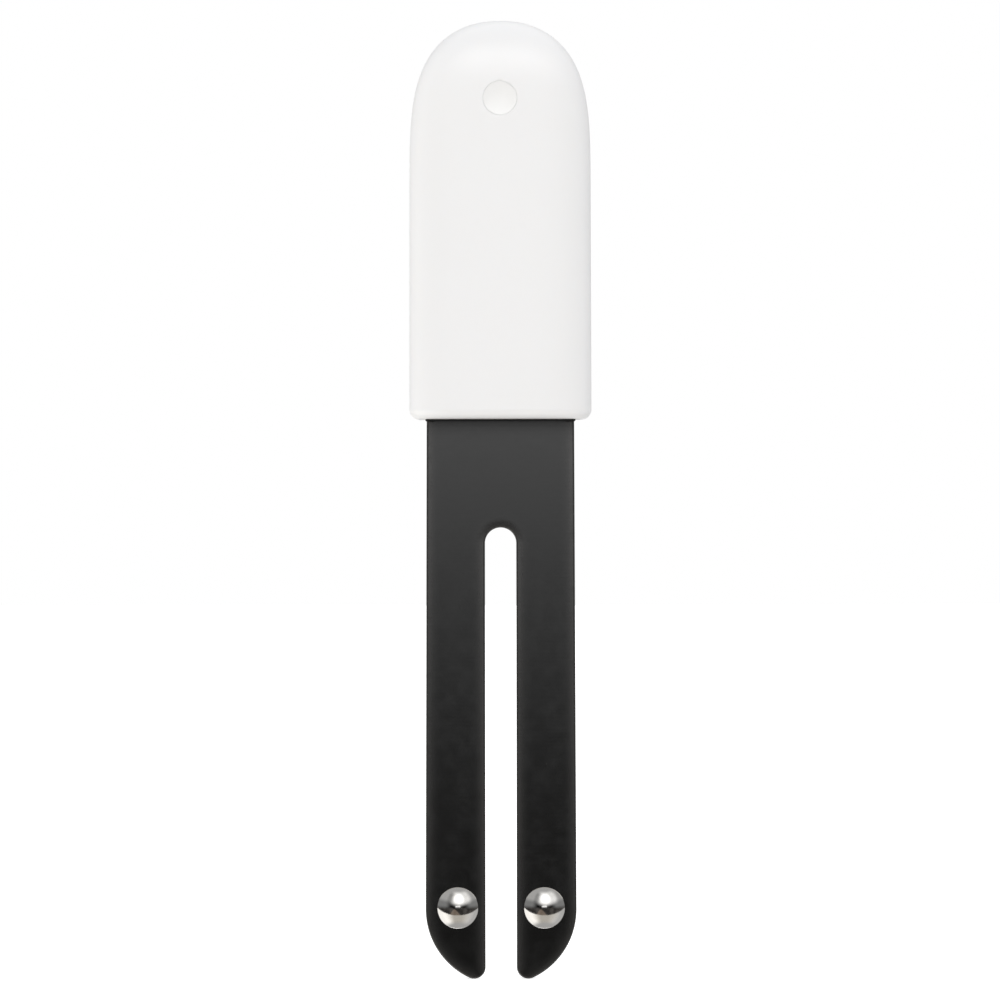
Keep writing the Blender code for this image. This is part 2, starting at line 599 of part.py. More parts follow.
def main():
    clear_scene()
    white = material("cap_white", (0.86, 0.86, 0.85), 0.42)
    frost = material("window_frost", (0.82, 0.83, 0.83), 0.3)
    plug_white = material("plug_white", (0.82, 0.82, 0.81), 0.45)
    frame_white = material("frame_white", (0.78, 0.79, 0.79), 0.5)
    tray_white = material("tray_white", (0.76, 0.77, 0.77), 0.5)
    silicone = material("seal_silicone", (0.55, 0.57, 0.58), 0.55)
    rubber = material("collar_rubber", (0.015, 0.015, 0.016), 0.6)
    mask = material("board_mask", (0.028, 0.026, 0.025), 0.38)
    steel = material("electrode_steel", (0.66, 0.65, 0.63), 0.08, 1.0)
    tin = material("collar_tin", (0.62, 0.62, 0.61), 0.35, 1.0)
    chip = material("chip_black", (0.02, 0.02, 0.022), 0.5)
    crystal = material("crystal_steel", (0.7, 0.69, 0.66), 0.22, 1.0)
    sensor = material("sensor_clear", (0.35, 0.3, 0.22), 0.15)
    led = material("led_white", (0.85, 0.84, 0.72), 0.25)
    ntc = material("thermistor_dark", (0.12, 0.09, 0.07), 0.45)
    copper = material("antenna_copper", (0.8, 0.5, 0.2), 0.3, 1.0)
    ceramic = material("capacitor_tan", (0.42, 0.3, 0.19), 0.4)
    resist = material("resistor_black", (0.03, 0.03, 0.035), 0.4)
    ferrite = material("inductor_grey", (0.2, 0.2, 0.21), 0.5)
    spring = material("contact_nickel", (0.72, 0.7, 0.64), 0.25, 1.0)
    can = material("cell_steel", (0.68, 0.68, 0.67), 0.24, 1.0)
    cellcap = material("cell_cap_steel", (0.66, 0.66, 0.65), 0.28, 1.0)
    gasket = material("gasket_dark", (0.05, 0.05, 0.055), 0.5)
    lithium = material("anode_lithium", (0.62, 0.62, 0.64), 0.45, 1.0)
    paper = material("separator_white", (0.85, 0.84, 0.8), 0.8)
    oxide = material("cathode_black", (0.04, 0.038, 0.036), 0.85)
    acrylic = material("pipe_clear", (0.9, 0.93, 0.94), 0.06, 0.0, 0.45)

    cap = make_cap(white)
    window = make_window(frost)
    pull = bpy.data.objects.new("cap_slide_axis", None)
    pull.empty_display_size = 0.01
    bpy.context.scene.collection.objects.link(pull)
    for ob in (cap, window):
        ob.parent = pull

    make_plug(plug_white)
    make_seal_ring(silicone)
    make_blade_seal(rubber)
    make_chassis_front(frame_white)
    make_battery_tray(tray_white)
    make_light_pipe(acrylic)
    make_board(mask)
    for side, sign in (("left", -1), ("right", 1)):
        make_electrode("electrode_" + side, sign * EL_X, steel)
        make_collar("electrode_collar_" + side, sign * EL_X, tin)
    make_cell(can, cellcap, gasket, lithium, paper, oxide)
    make_contacts(spring)
    make_antenna(copper)

    # surface-mounted parts on the board's front face: centre x, centre z, width, height, thickness
    face = -BOARD_T / 2 - 0.03

    def smd(name, x, z, w, h, t, mat, edge=0.0):
        box(name, (x - w / 2, face - t, z - h / 2), (x + w / 2, face, z + h / 2), mat, edge)

    smd("radio_chip", -1.2, 25.6, 5.0, 5.0, 0.85, chip, 0.12)
    smd("flash_chip", 4.9, 20.6, 4.0, 3.0, 0.75, chip, 0.1)
    smd("sensor_chip", -2.2, 13.0, 4.4, 3.0, 0.9, chip, 0.1)
    smd("main_crystal", 5.0, 26.6, 3.2, 2.5, 0.7, crystal, 0.12)
    smd("clock_crystal", -6.4, 25.2, 1.5, 3.2, 0.75, crystal, 0.12)
    smd("light_sensor", 0.75, WIN_Z, 1.4, 1.6, 0.6, sensor, 0.08)
    smd("status_led", -0.9, WIN_Z, 0.8, 1.6, 0.5, led, 0.08)
    smd("thermistor", 4.6, 11.2, 0.8, 1.6, 0.8, ntc, 0.06)
    smd("inductor", -6.2, 19.8, 2.0, 1.6, 0.95, ferrite, 0.1)
    caps = ((-5.4, 29.4, 0), (1.9, 29.4, 1), (4.3, 29.3, 1), (2.4, 22.6, 0), (-3.4, 21.2, 0), (-6.0, 14.6, 1))
    for k, (x, z, flat) in enumerate(caps):
        w, h = ((1.6, 0.8), (0.8, 1.6))[flat]
        smd("capacitor_%d" % (k + 1), x, z, w, h, 0.8, ceramic, 0.06)
    res = ((-2.6, 29.3, 1), (0.2, 19.6, 0), (1.6, 14.8, 0), (1.6, 11.6, 0))
    for k, (x, z, flat) in enumerate(res):
        w, h = ((1.6, 0.8), (0.8, 1.6))[flat]
        smd("resistor_%d" % (k + 1), x, z, w, h, 0.45, resist, 0.04)


main()
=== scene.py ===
"""Looks for the plant soil sensor: fine surfaces, materials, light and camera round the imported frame."""

import math

import bmesh
import bpy
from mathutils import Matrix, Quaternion, Vector


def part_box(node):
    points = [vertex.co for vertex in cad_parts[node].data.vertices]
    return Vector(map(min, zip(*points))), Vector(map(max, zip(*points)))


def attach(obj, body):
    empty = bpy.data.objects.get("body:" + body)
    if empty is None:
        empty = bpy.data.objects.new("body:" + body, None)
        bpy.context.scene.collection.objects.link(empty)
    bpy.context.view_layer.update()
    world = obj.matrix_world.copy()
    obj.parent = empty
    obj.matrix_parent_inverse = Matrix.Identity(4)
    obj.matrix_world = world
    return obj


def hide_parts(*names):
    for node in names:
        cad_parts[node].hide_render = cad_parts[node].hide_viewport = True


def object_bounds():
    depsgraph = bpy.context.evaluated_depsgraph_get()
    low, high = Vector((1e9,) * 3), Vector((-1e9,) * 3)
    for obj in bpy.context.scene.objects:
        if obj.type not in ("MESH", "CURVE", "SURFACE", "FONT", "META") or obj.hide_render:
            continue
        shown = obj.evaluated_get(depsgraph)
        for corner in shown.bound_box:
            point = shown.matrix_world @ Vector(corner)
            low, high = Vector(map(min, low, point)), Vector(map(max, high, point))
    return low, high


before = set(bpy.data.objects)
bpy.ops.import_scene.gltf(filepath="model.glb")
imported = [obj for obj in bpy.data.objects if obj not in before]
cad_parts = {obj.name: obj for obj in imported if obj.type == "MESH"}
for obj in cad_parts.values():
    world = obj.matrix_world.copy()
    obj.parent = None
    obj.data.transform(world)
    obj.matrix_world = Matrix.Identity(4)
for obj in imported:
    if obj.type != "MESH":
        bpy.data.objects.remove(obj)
CAD_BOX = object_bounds()
MM = 0.001
scene = bpy.context.scene

# ------------------------------------------------------------------ the design's own rules, in mm
CAP_H, CAP_A, CAP_B, CAP_DRAFT = 51.97, 11.81, 6.25, 0.0020
CAP_N_FRONT, CAP_N_REAR = 4.2, 6.5
DOME_D, DOME_P, DOME_Q = 22.76, 3.83, 2.13
SIDE_D, SIDE_P, SIDE_Q = 9.5, 2.7, 2.0
WALL, RIM_R = 1.5, 1.22
CAV_N_FRONT, CAV_N_REAR = 6.0, 9.0
WIN_Z, WIN_R, WIN_FLANGE_R, WIN_RECESS = 41.35, 2.2, 2.75, 0.05
BOARD_T, BLADE_W_TOP, BLADE_W_END, END_Z = 1.6, 9.61, 9.82, -63.84
SLOT_W, SLOT_TOP, TIP_R = 2.04, -14.13, 1.50
BOARD_IN_W, SHOULDER_Z, BOARD_TOP, BOARD_ARC_Z = 8.5, 0.4, 45.6, 35.0
EL_X, EL_Z, EL_R, EL_H = 5.64, -63.64, 2.68, 1.05
EL_SHANK_R, EL_HOLE_R = 0.75, 0.88
PLUG_H, SEAL_Z, SEAL_R = 4.5, 2.45, 0.39
CHASSIS_Z0, CHASSIS_TOP = 4.75, 46.4
POST_R, POST_HOLE_R = 0.85, 1.0
POSTS = ((-7.0, 7.2), (7.0, 7.2), (-6.6, 33.0), (6.6, 33.0))
CELL_Z, CELL_R, CELL_Y0, CELL_T = 17.6, 10.0, 1.12, 3.2
CROWN = 0.03             # fall of the mask towards the edges of the board


def rise(u, p, q):
    u = min(max(u, 0.0), 1.0)
    return (1.0 - (1.0 - u) ** p) ** (1.0 / q)


def cap_section(z):
    d = CAP_H - z
    a = (CAP_A - CAP_DRAFT * (z - 25.0)) * rise(d / DOME_D, DOME_P, DOME_Q)
    b = CAP_B * rise(d / SIDE_D, SIDE_P, SIDE_Q)
    w = rise(d / 13.0, 2.0, 1.4)
    return a, b, 2.2 + (CAP_N_FRONT - 2.2) * w, 2.2 + (CAP_N_REAR - 2.2) * w


def cavity_section(z, gap=0.0):
    d = CAP_H - WALL - z
    a = (CAP_A - WALL - CAP_DRAFT * (z - 25.0)) * rise(d / DOME_D, DOME_P, DOME_Q)
    b = (CAP_B - WALL) * rise(d / (SIDE_D - 1.0), SIDE_P, SIDE_Q)
    w = rise(d / 12.0, 2.0, 1.4)
    return (a - gap, b - gap, 2.4 + (CAV_N_FRONT - 0.6 * gap - 2.4) * w,
            2.4 + (CAV_N_REAR - 1.2 * gap - 2.4) * w)


def oval(a, b, n_front, n_rear, count):
    """Points round a superellipse section, spread by length and by turning."""
    quarter = count // 4

    def quarter_points(n):
        dense, weight = [], [0.0]
        for i in range(721):
            t = 0.5 * math.pi * i / 720
            dense.append((a * math.cos(t) ** (2.0 / n), b * math.sin(t) ** (2.0 / n)))
        length = [0.0]
        for (x0, y0), (x1, y1) in zip(dense, dense[1:]):
            length.append(length[-1] + math.hypot(x1 - x0, y1 - y0))
        for i in range(1, len(dense)):
            (x0, y0), (x1, y1) = dense[i - 1], dense[i]
            n0 = math.atan2((abs(y0) / b) ** (n - 1) / b, (abs(x0) / a) ** (n - 1) / a)
            n1 = math.atan2((abs(y1) / b) ** (n - 1) / b, (abs(x1) / a) ** (n - 1) / a)
            weight.append(weight[-1] + (length[i] - length[i - 1]) / length[-1] + 0.9 * abs(n1 - n0))
        out, j = [], 0
        for k in range(quarter + 1):
            want = weight[-1] * k / quarter
            while j < len(weight) - 2 and weight[j + 1] < want:
                j += 1
            span = weight[j + 1] - weight[j]
            f = 0.0 if span <= 0 else (want - weight[j]) / span
            out.append((dense[j][0] + f * (dense[j + 1][0] - dense[j][0]),
                        dense[j][1] + f * (dense[j + 1][1] - dense[j][1])))
        out[0], out[-1] = (a, 0.0), (0.0, b)
        return out

    rear, front = quarter_points(n_rear), quarter_points(n_front)
    pts = rear[:-1]
    pts += [(-x, y) for x, y in reversed(rear)][:-1]
    pts += [(-x, -y) for x, y in front][:-1]
    pts += [(x, -y) for x, y in reversed(front)][:-1]
    return pts


# ------------------------------------------------------------------ mesh helpers
def done(name, bm, mats, body, replaces=(), slot=None, angle=35.0, smooth=True, weighted=False):
    """A bmesh in mm becomes a piece that rides on a body."""
    for v in bm.verts:
        v.co *= MM
    bmesh.ops.recalc_face_normals(bm, faces=bm.faces)
    me = bpy.data.meshes.new(name)
    bm.to_mesh(me)
    bm.free()
    if smooth:
        me.shade_smooth()
        me.set_sharp_from_angle(angle=math.radians(angle))
    ob = bpy.data.objects.new(name, me)
    scene.collection.objects.link(ob)
    for m in (mats if isinstance(mats, (list, tuple)) else [mats]):
        if m is not None:
            me.materials.append(m)
    if weighted:
        weigh(ob)
    if body:
        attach(ob, body)
        if replaces:
            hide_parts(*replaces)
    return ob


def weigh(ob):
    mod = ob.modifiers.new("weighted", "WEIGHTED_NORMAL")
    mod.keep_sharp = True
    mod.weight = 60


def apply_cuts(ob, cutters, bevel=0.0, segments=2, angle=38.0, smooth_angle=35.0):
    """Booleans with the given cutters, an edge rounding, then the result as the object's own mesh."""
    for op, c in cutters:
        mod = ob.modifiers.new("cut", "BOOLEAN")
        mod.operation, mod.solver, mod.object = op, "EXACT", c
    dg = bpy.context.evaluated_depsgraph_get()
    me = bpy.data.meshes.new_from_object(ob.evaluated_get(dg))
    old = ob.data
    ob.modifiers.clear()
    mats = [m for m in old.materials]
    if bevel:
        bm = bmesh.new()
        bm.from_mesh(me)
        bmesh.ops.remove_doubles(bm, verts=bm.verts, dist=0.004 * MM)
        bmesh.ops.dissolve_limit(bm, angle_limit=math.radians(1.2), verts=bm.verts, edges=bm.edges)
        bm.to_mesh(me)
        bm.free()
    me.materials.clear()
    for m in mats:
        me.materials.append(m)
    ob.data = me
    for _, c in cutters:
        data = c.data
        bpy.data.objects.remove(c)
        bpy.data.meshes.remove(data)
    me.shade_smooth()
    me.set_sharp_from_angle(angle=math.radians(smooth_angle))
    if bevel:
        mod = ob.modifiers.new("edge_rounding", "BEVEL")
        mod.width, mod.segments, mod.limit_method = bevel * MM, segments, "ANGLE"
        mod.angle_limit = math.radians(angle)
        mod.harden_normals = False
        mod.use_clamp_overlap = True
        mod.miter_outer = "MITER_ARC"
        weigh(ob)
    return ob


def bridge(bm, rings, closed=False, mat=None):
    """Quads between rings of the same count; closed joins the last ring to the first."""
    faces = []
    pairs = list(zip(rings, rings[1:])) + ([(rings[-1], rings[0])] if closed else [])
    for k, (lo, hi) in enumerate(pairs):
        n = len(lo)
        for i in range(n):
            j = (i + 1) % n
            f = bm.faces.new((lo[i], lo[j], hi[j], hi[i]))
            if mat:
                f.material_index = mat[k]
            faces.append(f)
    return faces


def fan(bm, ring, point):
    v = bm.verts.new(point)
    n = len(ring)
    for i in range(n):
        bm.faces.new((ring[i], ring[(i + 1) % n], v))


def turned(name, profile, centre, mat, steps=64, body="probe", solid=True, angle=35.0, **kw):
    """A round piece about the Y axis through centre = (x, z); profile is a list of (radius, y)."""
    cx, cz = centre
    bm = bmesh.new()
    rows = []
    for r, y in profile:
        if r <= 1e-6:
            rows.append([bm.verts.new((cx, y, cz))])
        else:
            rows.append([bm.verts.new((cx + r * math.cos(2 * math.pi * k / steps), y,
                                       cz + r * math.sin(2 * math.pi * k / steps))) for k in range(steps)])
    pairs = list(zip(rows, rows[1:])) + ([] if solid else [(rows[-1], rows[0])])
    for lo, hi in pairs:
        for k in range(steps):
            m = (k + 1) % steps
            if len(lo) == 1 and len(hi) == 1:
                continue
            if len(lo) == 1:
                bm.faces.new((lo[0], hi[m], hi[k]))
            elif len(hi) == 1:
                bm.faces.new((lo[k], lo[m], hi[0]))
            else:
                bm.faces.new((lo[k], lo[m], hi[m], hi[k]))
    return done(name, bm, mat, body, angle=angle, **kw)


def box_mesh(bm, lo, hi, edge=0.0, segments=2, mat=0):
    """A block with rounded edges added to a bmesh."""
    made = bmesh.ops.create_cube(bm, size=1.0)
    verts = made["verts"]
    for v in verts:
        v.co = [lo[i] + (v.co[i] + 0.5) * (hi[i] - lo[i]) for i in range(3)]
    faces = {f for v in verts for f in v.link_faces}
    if edge:
        edges = list({e for v in verts for e in v.link_edges})
        out = bmesh.ops.bevel(bm, geom=edges, offset=edge, segments=segments, affect="EDGES", profile=0.5)
        faces = {f for f in faces if f.is_valid} | {f for f in out["faces"] if f.is_valid}
        faces |= {f for v in out["verts"] if v.is_valid for f in v.link_faces}
    for f in faces:
        f.material_index = mat
    return faces


def block(name, lo, hi, mat, edge=0.0, body=None, **kw):
    bm = bmesh.new()
    box_mesh(bm, lo, hi, edge)
    return done(name, bm, mat, body, angle=30.0, **kw)


def rod(name, x, z, r, y0, y1, steps=32):
    return turned(name, [(0.0, y0), (r, y0), (r, y1), (0.0, y1)], (x, z), None, steps, body=None)


def plate(name, outline, y0, y1, mat, body=None, **kw):
    bm = bmesh.new()
    front = [bm.verts.new((x, y0, z)) for x, z in outline]
    back = [bm.verts.new((x, y1, z)) for x, z in outline]
    bm.faces.new(front)
    bm.faces.new(list(reversed(back)))
    bridge(bm, [front, back])
    return done(name, bm, mat, body, **kw)


def arc(cx, cz, r, a0, a1, steps):
    return [(cx + r * math.cos(math.radians(a0 + (a1 - a0) * i / steps)),
             cz + r * math.sin(math.radians(a0 + (a1 - a0) * i / steps))) for i in range(steps + 1)]


def rounded(x0, z0, x1, z1, r, steps=5):
    return (arc(x1 - r, z0 + r, r, -90, 0, steps) + arc(x1 - r, z1 - r, r, 0, 90, steps)
            + arc(x0 + r, z1 - r, r, 90, 180, steps) + arc(x0 + r, z0 + r, r, 180, 270, steps))


# ------------------------------------------------------------------ node helpers
class Ex:
    """A number in a node tree, so that a shading rule reads as a sum."""

    def __init__(self, nt, socket):
        self.nt, self.socket = nt, socket

    def op(self, name, *others):
        node = self.nt.nodes.new("ShaderNodeMath")
        node.operation = name
        for k, o in enumerate((self, *others)):
            if isinstance(o, Ex):
                self.nt.links.new(o.socket, node.inputs[k])
            else:
                node.inputs[k].default_value = o
        return Ex(self.nt, node.outputs[0])

    def __add__(self, o):
        return self.op("ADD", o)

    def __sub__(self, o):
        return self.op("SUBTRACT", o)

    def __mul__(self, o):
        return self.op("MULTIPLY", o)

    def __truediv__(self, o):
        return self.op("DIVIDE", o)

    def __abs__(self):
        return self.op("ABSOLUTE")

    def low(self, o):
        return self.op("MINIMUM", o)

    def high(self, o):
        return self.op("MAXIMUM", o)

    def sqrt(self):
        return self.op("SQRT")

    def step(self, lo, hi, kind="SMOOTHSTEP", to=(0.0, 1.0)):
        node = self.nt.nodes.new("ShaderNodeMapRange")
        node.interpolation_type = kind
        self.nt.links.new(self.socket, node.inputs["Value"])
        for key, value in (("From Min", lo), ("From Max", hi), ("To Min", to[0]), ("To Max", to[1])):
            node.inputs[key].default_value = value
        return Ex(self.nt, node.outputs[0])


class Mat:
    """A Principled material whose patterns are in millimetres of the piece's own space."""

    def __init__(self, name, rgb, rough, metal=0.0, spec=0.5, coat=0.0, coat_rough=0.1, sheen=0.0, ior=1.5,
                 transmission=0.0, sss=0.0, sss_radius=(0.6, 0.55, 0.5), anisotropic=0.0):
        self.m = bpy.data.materials.new(name)
        self.m.use_nodes = True
        self.nt = self.m.node_tree
        self.p = self.nt.nodes["Principled BSDF"]
        self.rgb = rgb
        put = self.p.inputs
        put["Base Color"].default_value = (*rgb, 1.0)
        put["Roughness"].default_value = rough
        put["Metallic"].default_value = metal
        put["Specular IOR Level"].default_value = spec
        put["IOR"].default_value = ior
        put["Coat Weight"].default_value = coat
        put["Coat Roughness"].default_value = coat_rough
        put["Sheen Weight"].default_value = sheen
        put["Transmission Weight"].default_value = transmission
        put["Anisotropic"].default_value = anisotropic
        if sss:
            put["Subsurface Weight"].default_value = sss
            put["Subsurface Radius"].default_value = sss_radius
            put["Subsurface Scale"].default_value = MM
        tc = self.nt.nodes.new("ShaderNodeTexCoord")
        scale = self.nt.nodes.new("ShaderNodeVectorMath")
        scale.operation = "SCALE"
        scale.inputs["Scale"].default_value = 1000.0
        self.nt.links.new(tc.outputs["Object"], scale.inputs[0])
        self.mm = scale.outputs[0]
        self.m.diffuse_color = (*rgb, 1.0)

    def xyz(self):
        sep = self.nt.nodes.new("ShaderNodeSeparateXYZ")
        self.nt.links.new(self.mm, sep.inputs[0])
        return tuple(Ex(self.nt, sep.outputs[k]) for k in range(3))

    def stretch(self, scale, rotation=(0, 0, 0), offset=(0, 0, 0)):
        node = self.nt.nodes.new("ShaderNodeMapping")
        self.nt.links.new(self.mm, node.inputs["Vector"])
        node.inputs["Scale"].default_value = scale
        node.inputs["Rotation"].default_value = [math.radians(r) for r in rotation]
        node.inputs["Location"].default_value = offset
        return node.outputs[0]

    def noise(self, size, detail=2.0, rough=0.5, vector=None, distort=0.0):
        """Noise whose features are about size mm across."""
        node = self.nt.nodes.new("ShaderNodeTexNoise")
        self.nt.links.new(vector or self.mm, node.inputs["Vector"])
        node.inputs["Scale"].default_value = 1.0 / size
        node.inputs["Detail"].default_value = detail
        node.inputs["Roughness"].default_value = rough
        node.inputs["Distortion"].default_value = distort
        return Ex(self.nt, node.outputs["Fac"])

    def cells(self, size, feature="F1", vector=None, randomness=1.0):
        node = self.nt.nodes.new("ShaderNodeTexVoronoi")
        node.feature = feature
        self.nt.links.new(vector or self.mm, node.inputs["Vector"])
        node.inputs["Scale"].default_value = 1.0 / size
        node.inputs["Randomness"].default_value = randomness
        return Ex(self.nt, node.outputs["Distance"])

    def wave(self, pitch, vector=None, axis="X", distort=0.0, detail=1.0):
        node = self.nt.nodes.new("ShaderNodeTexWave")
        node.wave_type, node.bands_direction = "BANDS", axis
        self.nt.links.new(vector or self.mm, node.inputs["Vector"])
        node.inputs["Scale"].default_value = 2.0 * math.pi / 20.0 / pitch
        node.inputs["Distortion"].default_value = distort
        node.inputs["Detail"].default_value = detail
        return Ex(self.nt, node.outputs["Fac"])

    def colour(self, *steps):
        """Base colour from steps of (amount, rgb): each mixes rgb over what is below it."""
        last = None
        for amount, rgb in steps:
            if last is None:
                node = self.nt.nodes.new("ShaderNodeMix")
                node.data_type = "RGBA"
                node.inputs["A"].default_value = (*self.rgb, 1.0)
            else:
                node = self.nt.nodes.new("ShaderNodeMix")
                node.data_type = "RGBA"
                self.nt.links.new(last, node.inputs["A"])
            colour_in = [s for s in node.inputs if s.type == "RGBA"]
            if last is None:
                colour_in[0].default_value = (*self.rgb, 1.0)
            else:
                self.nt.links.new(last, colour_in[0])
            colour_in[1].default_value = (*rgb, 1.0)
            self.nt.links.new(amount.socket, [s for s in node.inputs if s.name == "Factor" and s.type == "VALUE"][0])
            last = [s for s in node.outputs if s.type == "RGBA"][0]
        self.nt.links.new(last, self.p.inputs["Base Color"])
        return self

    def rough(self, value):
        self.nt.links.new(value.socket, self.p.inputs["Roughness"])
        return self

    def metal(self, value):
        self.nt.links.new(value.socket, self.p.inputs["Metallic"])
        return self

    def bump(self, *heights):
        """heights is a list of (value, height in mm)."""
        last = None
        for value, height in heights:
            node = self.nt.nodes.new("ShaderNodeBump")
            node.inputs["Strength"].default_value = 1.0
            node.inputs["Distance"].default_value = height * MM
            self.nt.links.new(value.socket, node.inputs["Height"])
            if last is not None:
                self.nt.links.new(last, node.inputs["Normal"])
            last = node.outputs[0]
        self.nt.links.new(last, self.p.inputs["Normal"])
        return self


# ------------------------------------------------------------------ materials
def moulded(name, rgb, rough, grain=0.16, depth=0.0012, **kw):
    """Moulded plastic: a spark-eroded grain, a faint cloud in the colour and a few rubbed places in the gloss."""
    m = Mat(name, rgb, rough, **kw)
    cloud = m.noise(7.0, 3.0, 0.55)
    fine = m.noise(grain, 3.0, 0.6)
    m.colour((cloud.step(0.42, 0.72, to=(0.0, 0.55)), tuple(c * 0.972 for c in rgb)),
             (fine.step(0.55, 0.8, to=(0.0, 0.35)), tuple(min(1.0, c * 1.012) for c in rgb)))
    rub = m.noise(2.4, 4.0, 0.65, m.stretch((1.0, 1.0, 0.35)))
    m.rough((fine * 0.10 + rub.step(0.35, 0.75, to=(0.0, 0.07))) + (rough - 0.08))
    m.bump((fine, depth), (m.noise(9.0, 1.0), 0.012))
    return m.m


def brushed(name, rgb, rough, centre=None, pitch=0.05, **kw):
    """Turned or drawn metal: fine rings round a centre, or fine straight grain, with a few scratches."""
    m = Mat(name, rgb, rough, metal=1.0, **kw)
    if centre:
        x, _, z = m.xyz()
        dx, dz = x - centre[0], z - centre[1]
        radius = (dx * dx + dz * dz).sqrt()
        comb = m.nt.nodes.new("ShaderNodeCombineXYZ")
        m.nt.links.new((radius * (1.0 / pitch)).socket, comb.inputs[0])
        grain = m.noise(1.0, 2.0, 0.6, comb.outputs[0])
    else:
        grain = m.noise(1.0, 2.0, 0.6, m.stretch((1.0 / pitch, 1.0 / pitch, 1.1)))
    scratch = m.noise(0.35, 4.0, 0.7, m.stretch((1.0, 1.0, 0.08), (0, 35, 0)))
    stain = m.noise(3.5, 3.0, 0.6)
    m.colour((stain.step(0.45, 0.75, to=(0.0, 0.5)), tuple(c * 0.86 for c in rgb)))
    m.rough(grain * 0.14 + (scratch.step(0.58, 0.75, to=(0.0, 0.12)) + (rough - 0.07)))
    m.bump((grain, 0.0005), (scratch, 0.0006))
    return m.m


def make_cap_white():
    """Satin white plastic, very finely grained and lightly translucent."""
    m = Mat("cap_white", (0.905, 0.907, 0.916), 0.34, sss=0.08)
    fine = m.noise(0.14, 3.0, 0.6)
    cloud = m.noise(11.0, 3.0, 0.5)
    m.colour((cloud.step(0.4, 0.75, to=(0.0, 0.5)), (0.895, 0.897, 0.904)),
             (m.noise(0.5, 3.0, 0.6).step(0.5, 0.8, to=(0.0, 0.35)), (0.890, 0.892, 0.900)))
    rub = m.noise(3.2, 4.0, 0.65, m.stretch((1.0, 1.0, 0.3)))
    m.rough(fine * 0.08 + (rub.step(0.38, 0.72, to=(0.0, 0.05)) + 0.30))
    m.bump((fine, 0.0010), (m.noise(8.0, 1.0), 0.010))
    return m.m


def edge_distance(m):
    """Distance in mm from the blade's nearest edge: its outer edge, round ends and slot."""
    x, _, z = m.xyz()
    ax = abs(x)
    width = (z * ((BLADE_W_END - BLADE_W_TOP) / END_Z)).low(BLADE_W_END - BLADE_W_TOP).high(0.0) + BLADE_W_TOP
    inside = z.step(0.0, 0.5, "LINEAR", to=(0.0, BLADE_W_TOP - BOARD_IN_W))
    below = (z - END_Z).low(0.0)
    outer = (width - inside) - (ax * ax + below * below).sqrt()
    above = (z - (SLOT_TOP - SLOT_W)).high(0.0)
    slot = (ax * ax + above * above).sqrt() - SLOT_W
    return outer.low(slot), x, z


def make_board_mask():
    """Black solder mask: satin, a little orange peel, and a paler band towards the edges that is painted sheen, the
    light the edges catch.
    """
    m = Mat("board_mask", (0.0022, 0.0023, 0.0022), 0.13, spec=0.62)
    d, x, z = edge_distance(m)
    wobble = m.noise(3.0, 2.0)
    # painted sheen: a band towards the blade's edges and slot where the base colour is made paler, standing in for the
    # light the edges catch
    near = (d + (wobble - 0.5) * 0.15).step(2.3, 0.1, "LINEAR")
    painted_edge_sheen = near * near * near
    rim = d.step(0.16, 0.05)
    mottled = m.noise(1.6, 4.0, 0.62)
    weave_a = m.wave(0.46, axis="X", distort=0.6)
    weave_b = m.wave(0.52, axis="Z", distort=0.6)
    dust = m.cells(2.3)
    # the first step paints the edge sheen into the base colour; the others are mottling, a darker rim line and dust
    m.colour((painted_edge_sheen.op("MULTIPLY", 1.0), (0.036, 0.0355, 0.0345)),
             (mottled.step(0.45, 0.8, to=(0.0, 0.5)), (0.0036, 0.0038, 0.0037)),
             (rim.op("MULTIPLY", 0.8), (0.006, 0.005, 0.004)),
             (dust.step(0.035, 0.008, to=(0.0, 0.5)), (0.10, 0.10, 0.098)))
    m.rough(((mottled.step(0.3, 0.8, to=(-0.02, 0.03)) + painted_edge_sheen * 0.02) + m.noise(0.09, 2.0) * 0.03) + 0.13)
    collar = z.step(-3.2, 0.0, "LINEAR")
    m.bump((collar * collar * collar * collar, 0.0258), (m.noise(0.5, 2.0, 0.5), 0.0010), (weave_a * weave_b, 0.0004), (m.noise(0.08, 2.0), 0.0002))
    return m.m


def make_board_edge():
    """The routed edge of the laminate: dark brown glass-fibre layers with cutter marks."""
    m = Mat("board_edge", (0.045, 0.030, 0.017), 0.6)
    layers = m.wave(0.2, axis="Y", distort=1.2)
    marks = m.noise(0.12, 3.0, 0.6, m.stretch((1.0, 0.25, 1.0)))
    m.colour((layers.step(0.3, 0.8, to=(0.0, 0.7)), (0.085, 0.062, 0.036)),
             (marks.step(0.5, 0.8, to=(0.0, 0.6)), (0.020, 0.014, 0.009)))
    m.rough(marks * 0.25 + 0.45)
    m.bump((marks, 0.008), (layers, 0.004))
    return m.m


def make_steel():
    """Polished stainless steel with hairline polishing marks round the dome."""
    m = Mat("electrode_steel", (0.45, 0.442, 0.428), 0.09, metal=1.0)
    hair = m.noise(0.30, 5.0, 0.7, m.stretch((1.0, 1.0, 5.0), (0, 28, 0)))
    hair2 = m.noise(0.22, 5.0, 0.7, m.stretch((5.0, 1.0, 1.0), (0, -17, 0)))
    tarnish = m.noise(1.3, 3.0, 0.6)
    m.colour((tarnish.step(0.42, 0.8, to=(0.0, 0.5)), (0.42, 0.405, 0.38)))
    m.rough((hair.step(0.5, 0.75, to=(0.0, 0.10)) + tarnish * 0.05) + 0.055)
    m.bump((hair, 0.0011), (hair2, 0.0009), (m.noise(0.9, 2.0), 0.0035))
    return m.m


def make_rubber(name="collar_rubber", rgb=(0.0045, 0.0045, 0.0047), rough=0.66):
    m = Mat(name, rgb, rough, spec=0.25)
    fine = m.noise(0.07, 3.0, 0.6)
    m.colour((m.noise(1.2, 3.0).step(0.4, 0.8, to=(0.0, 0.6)), tuple(c * 1.7 for c in rgb)))
    m.rough(fine * 0.2 + (rough - 0.1))
    m.bump((fine, 0.002))
    return m.m


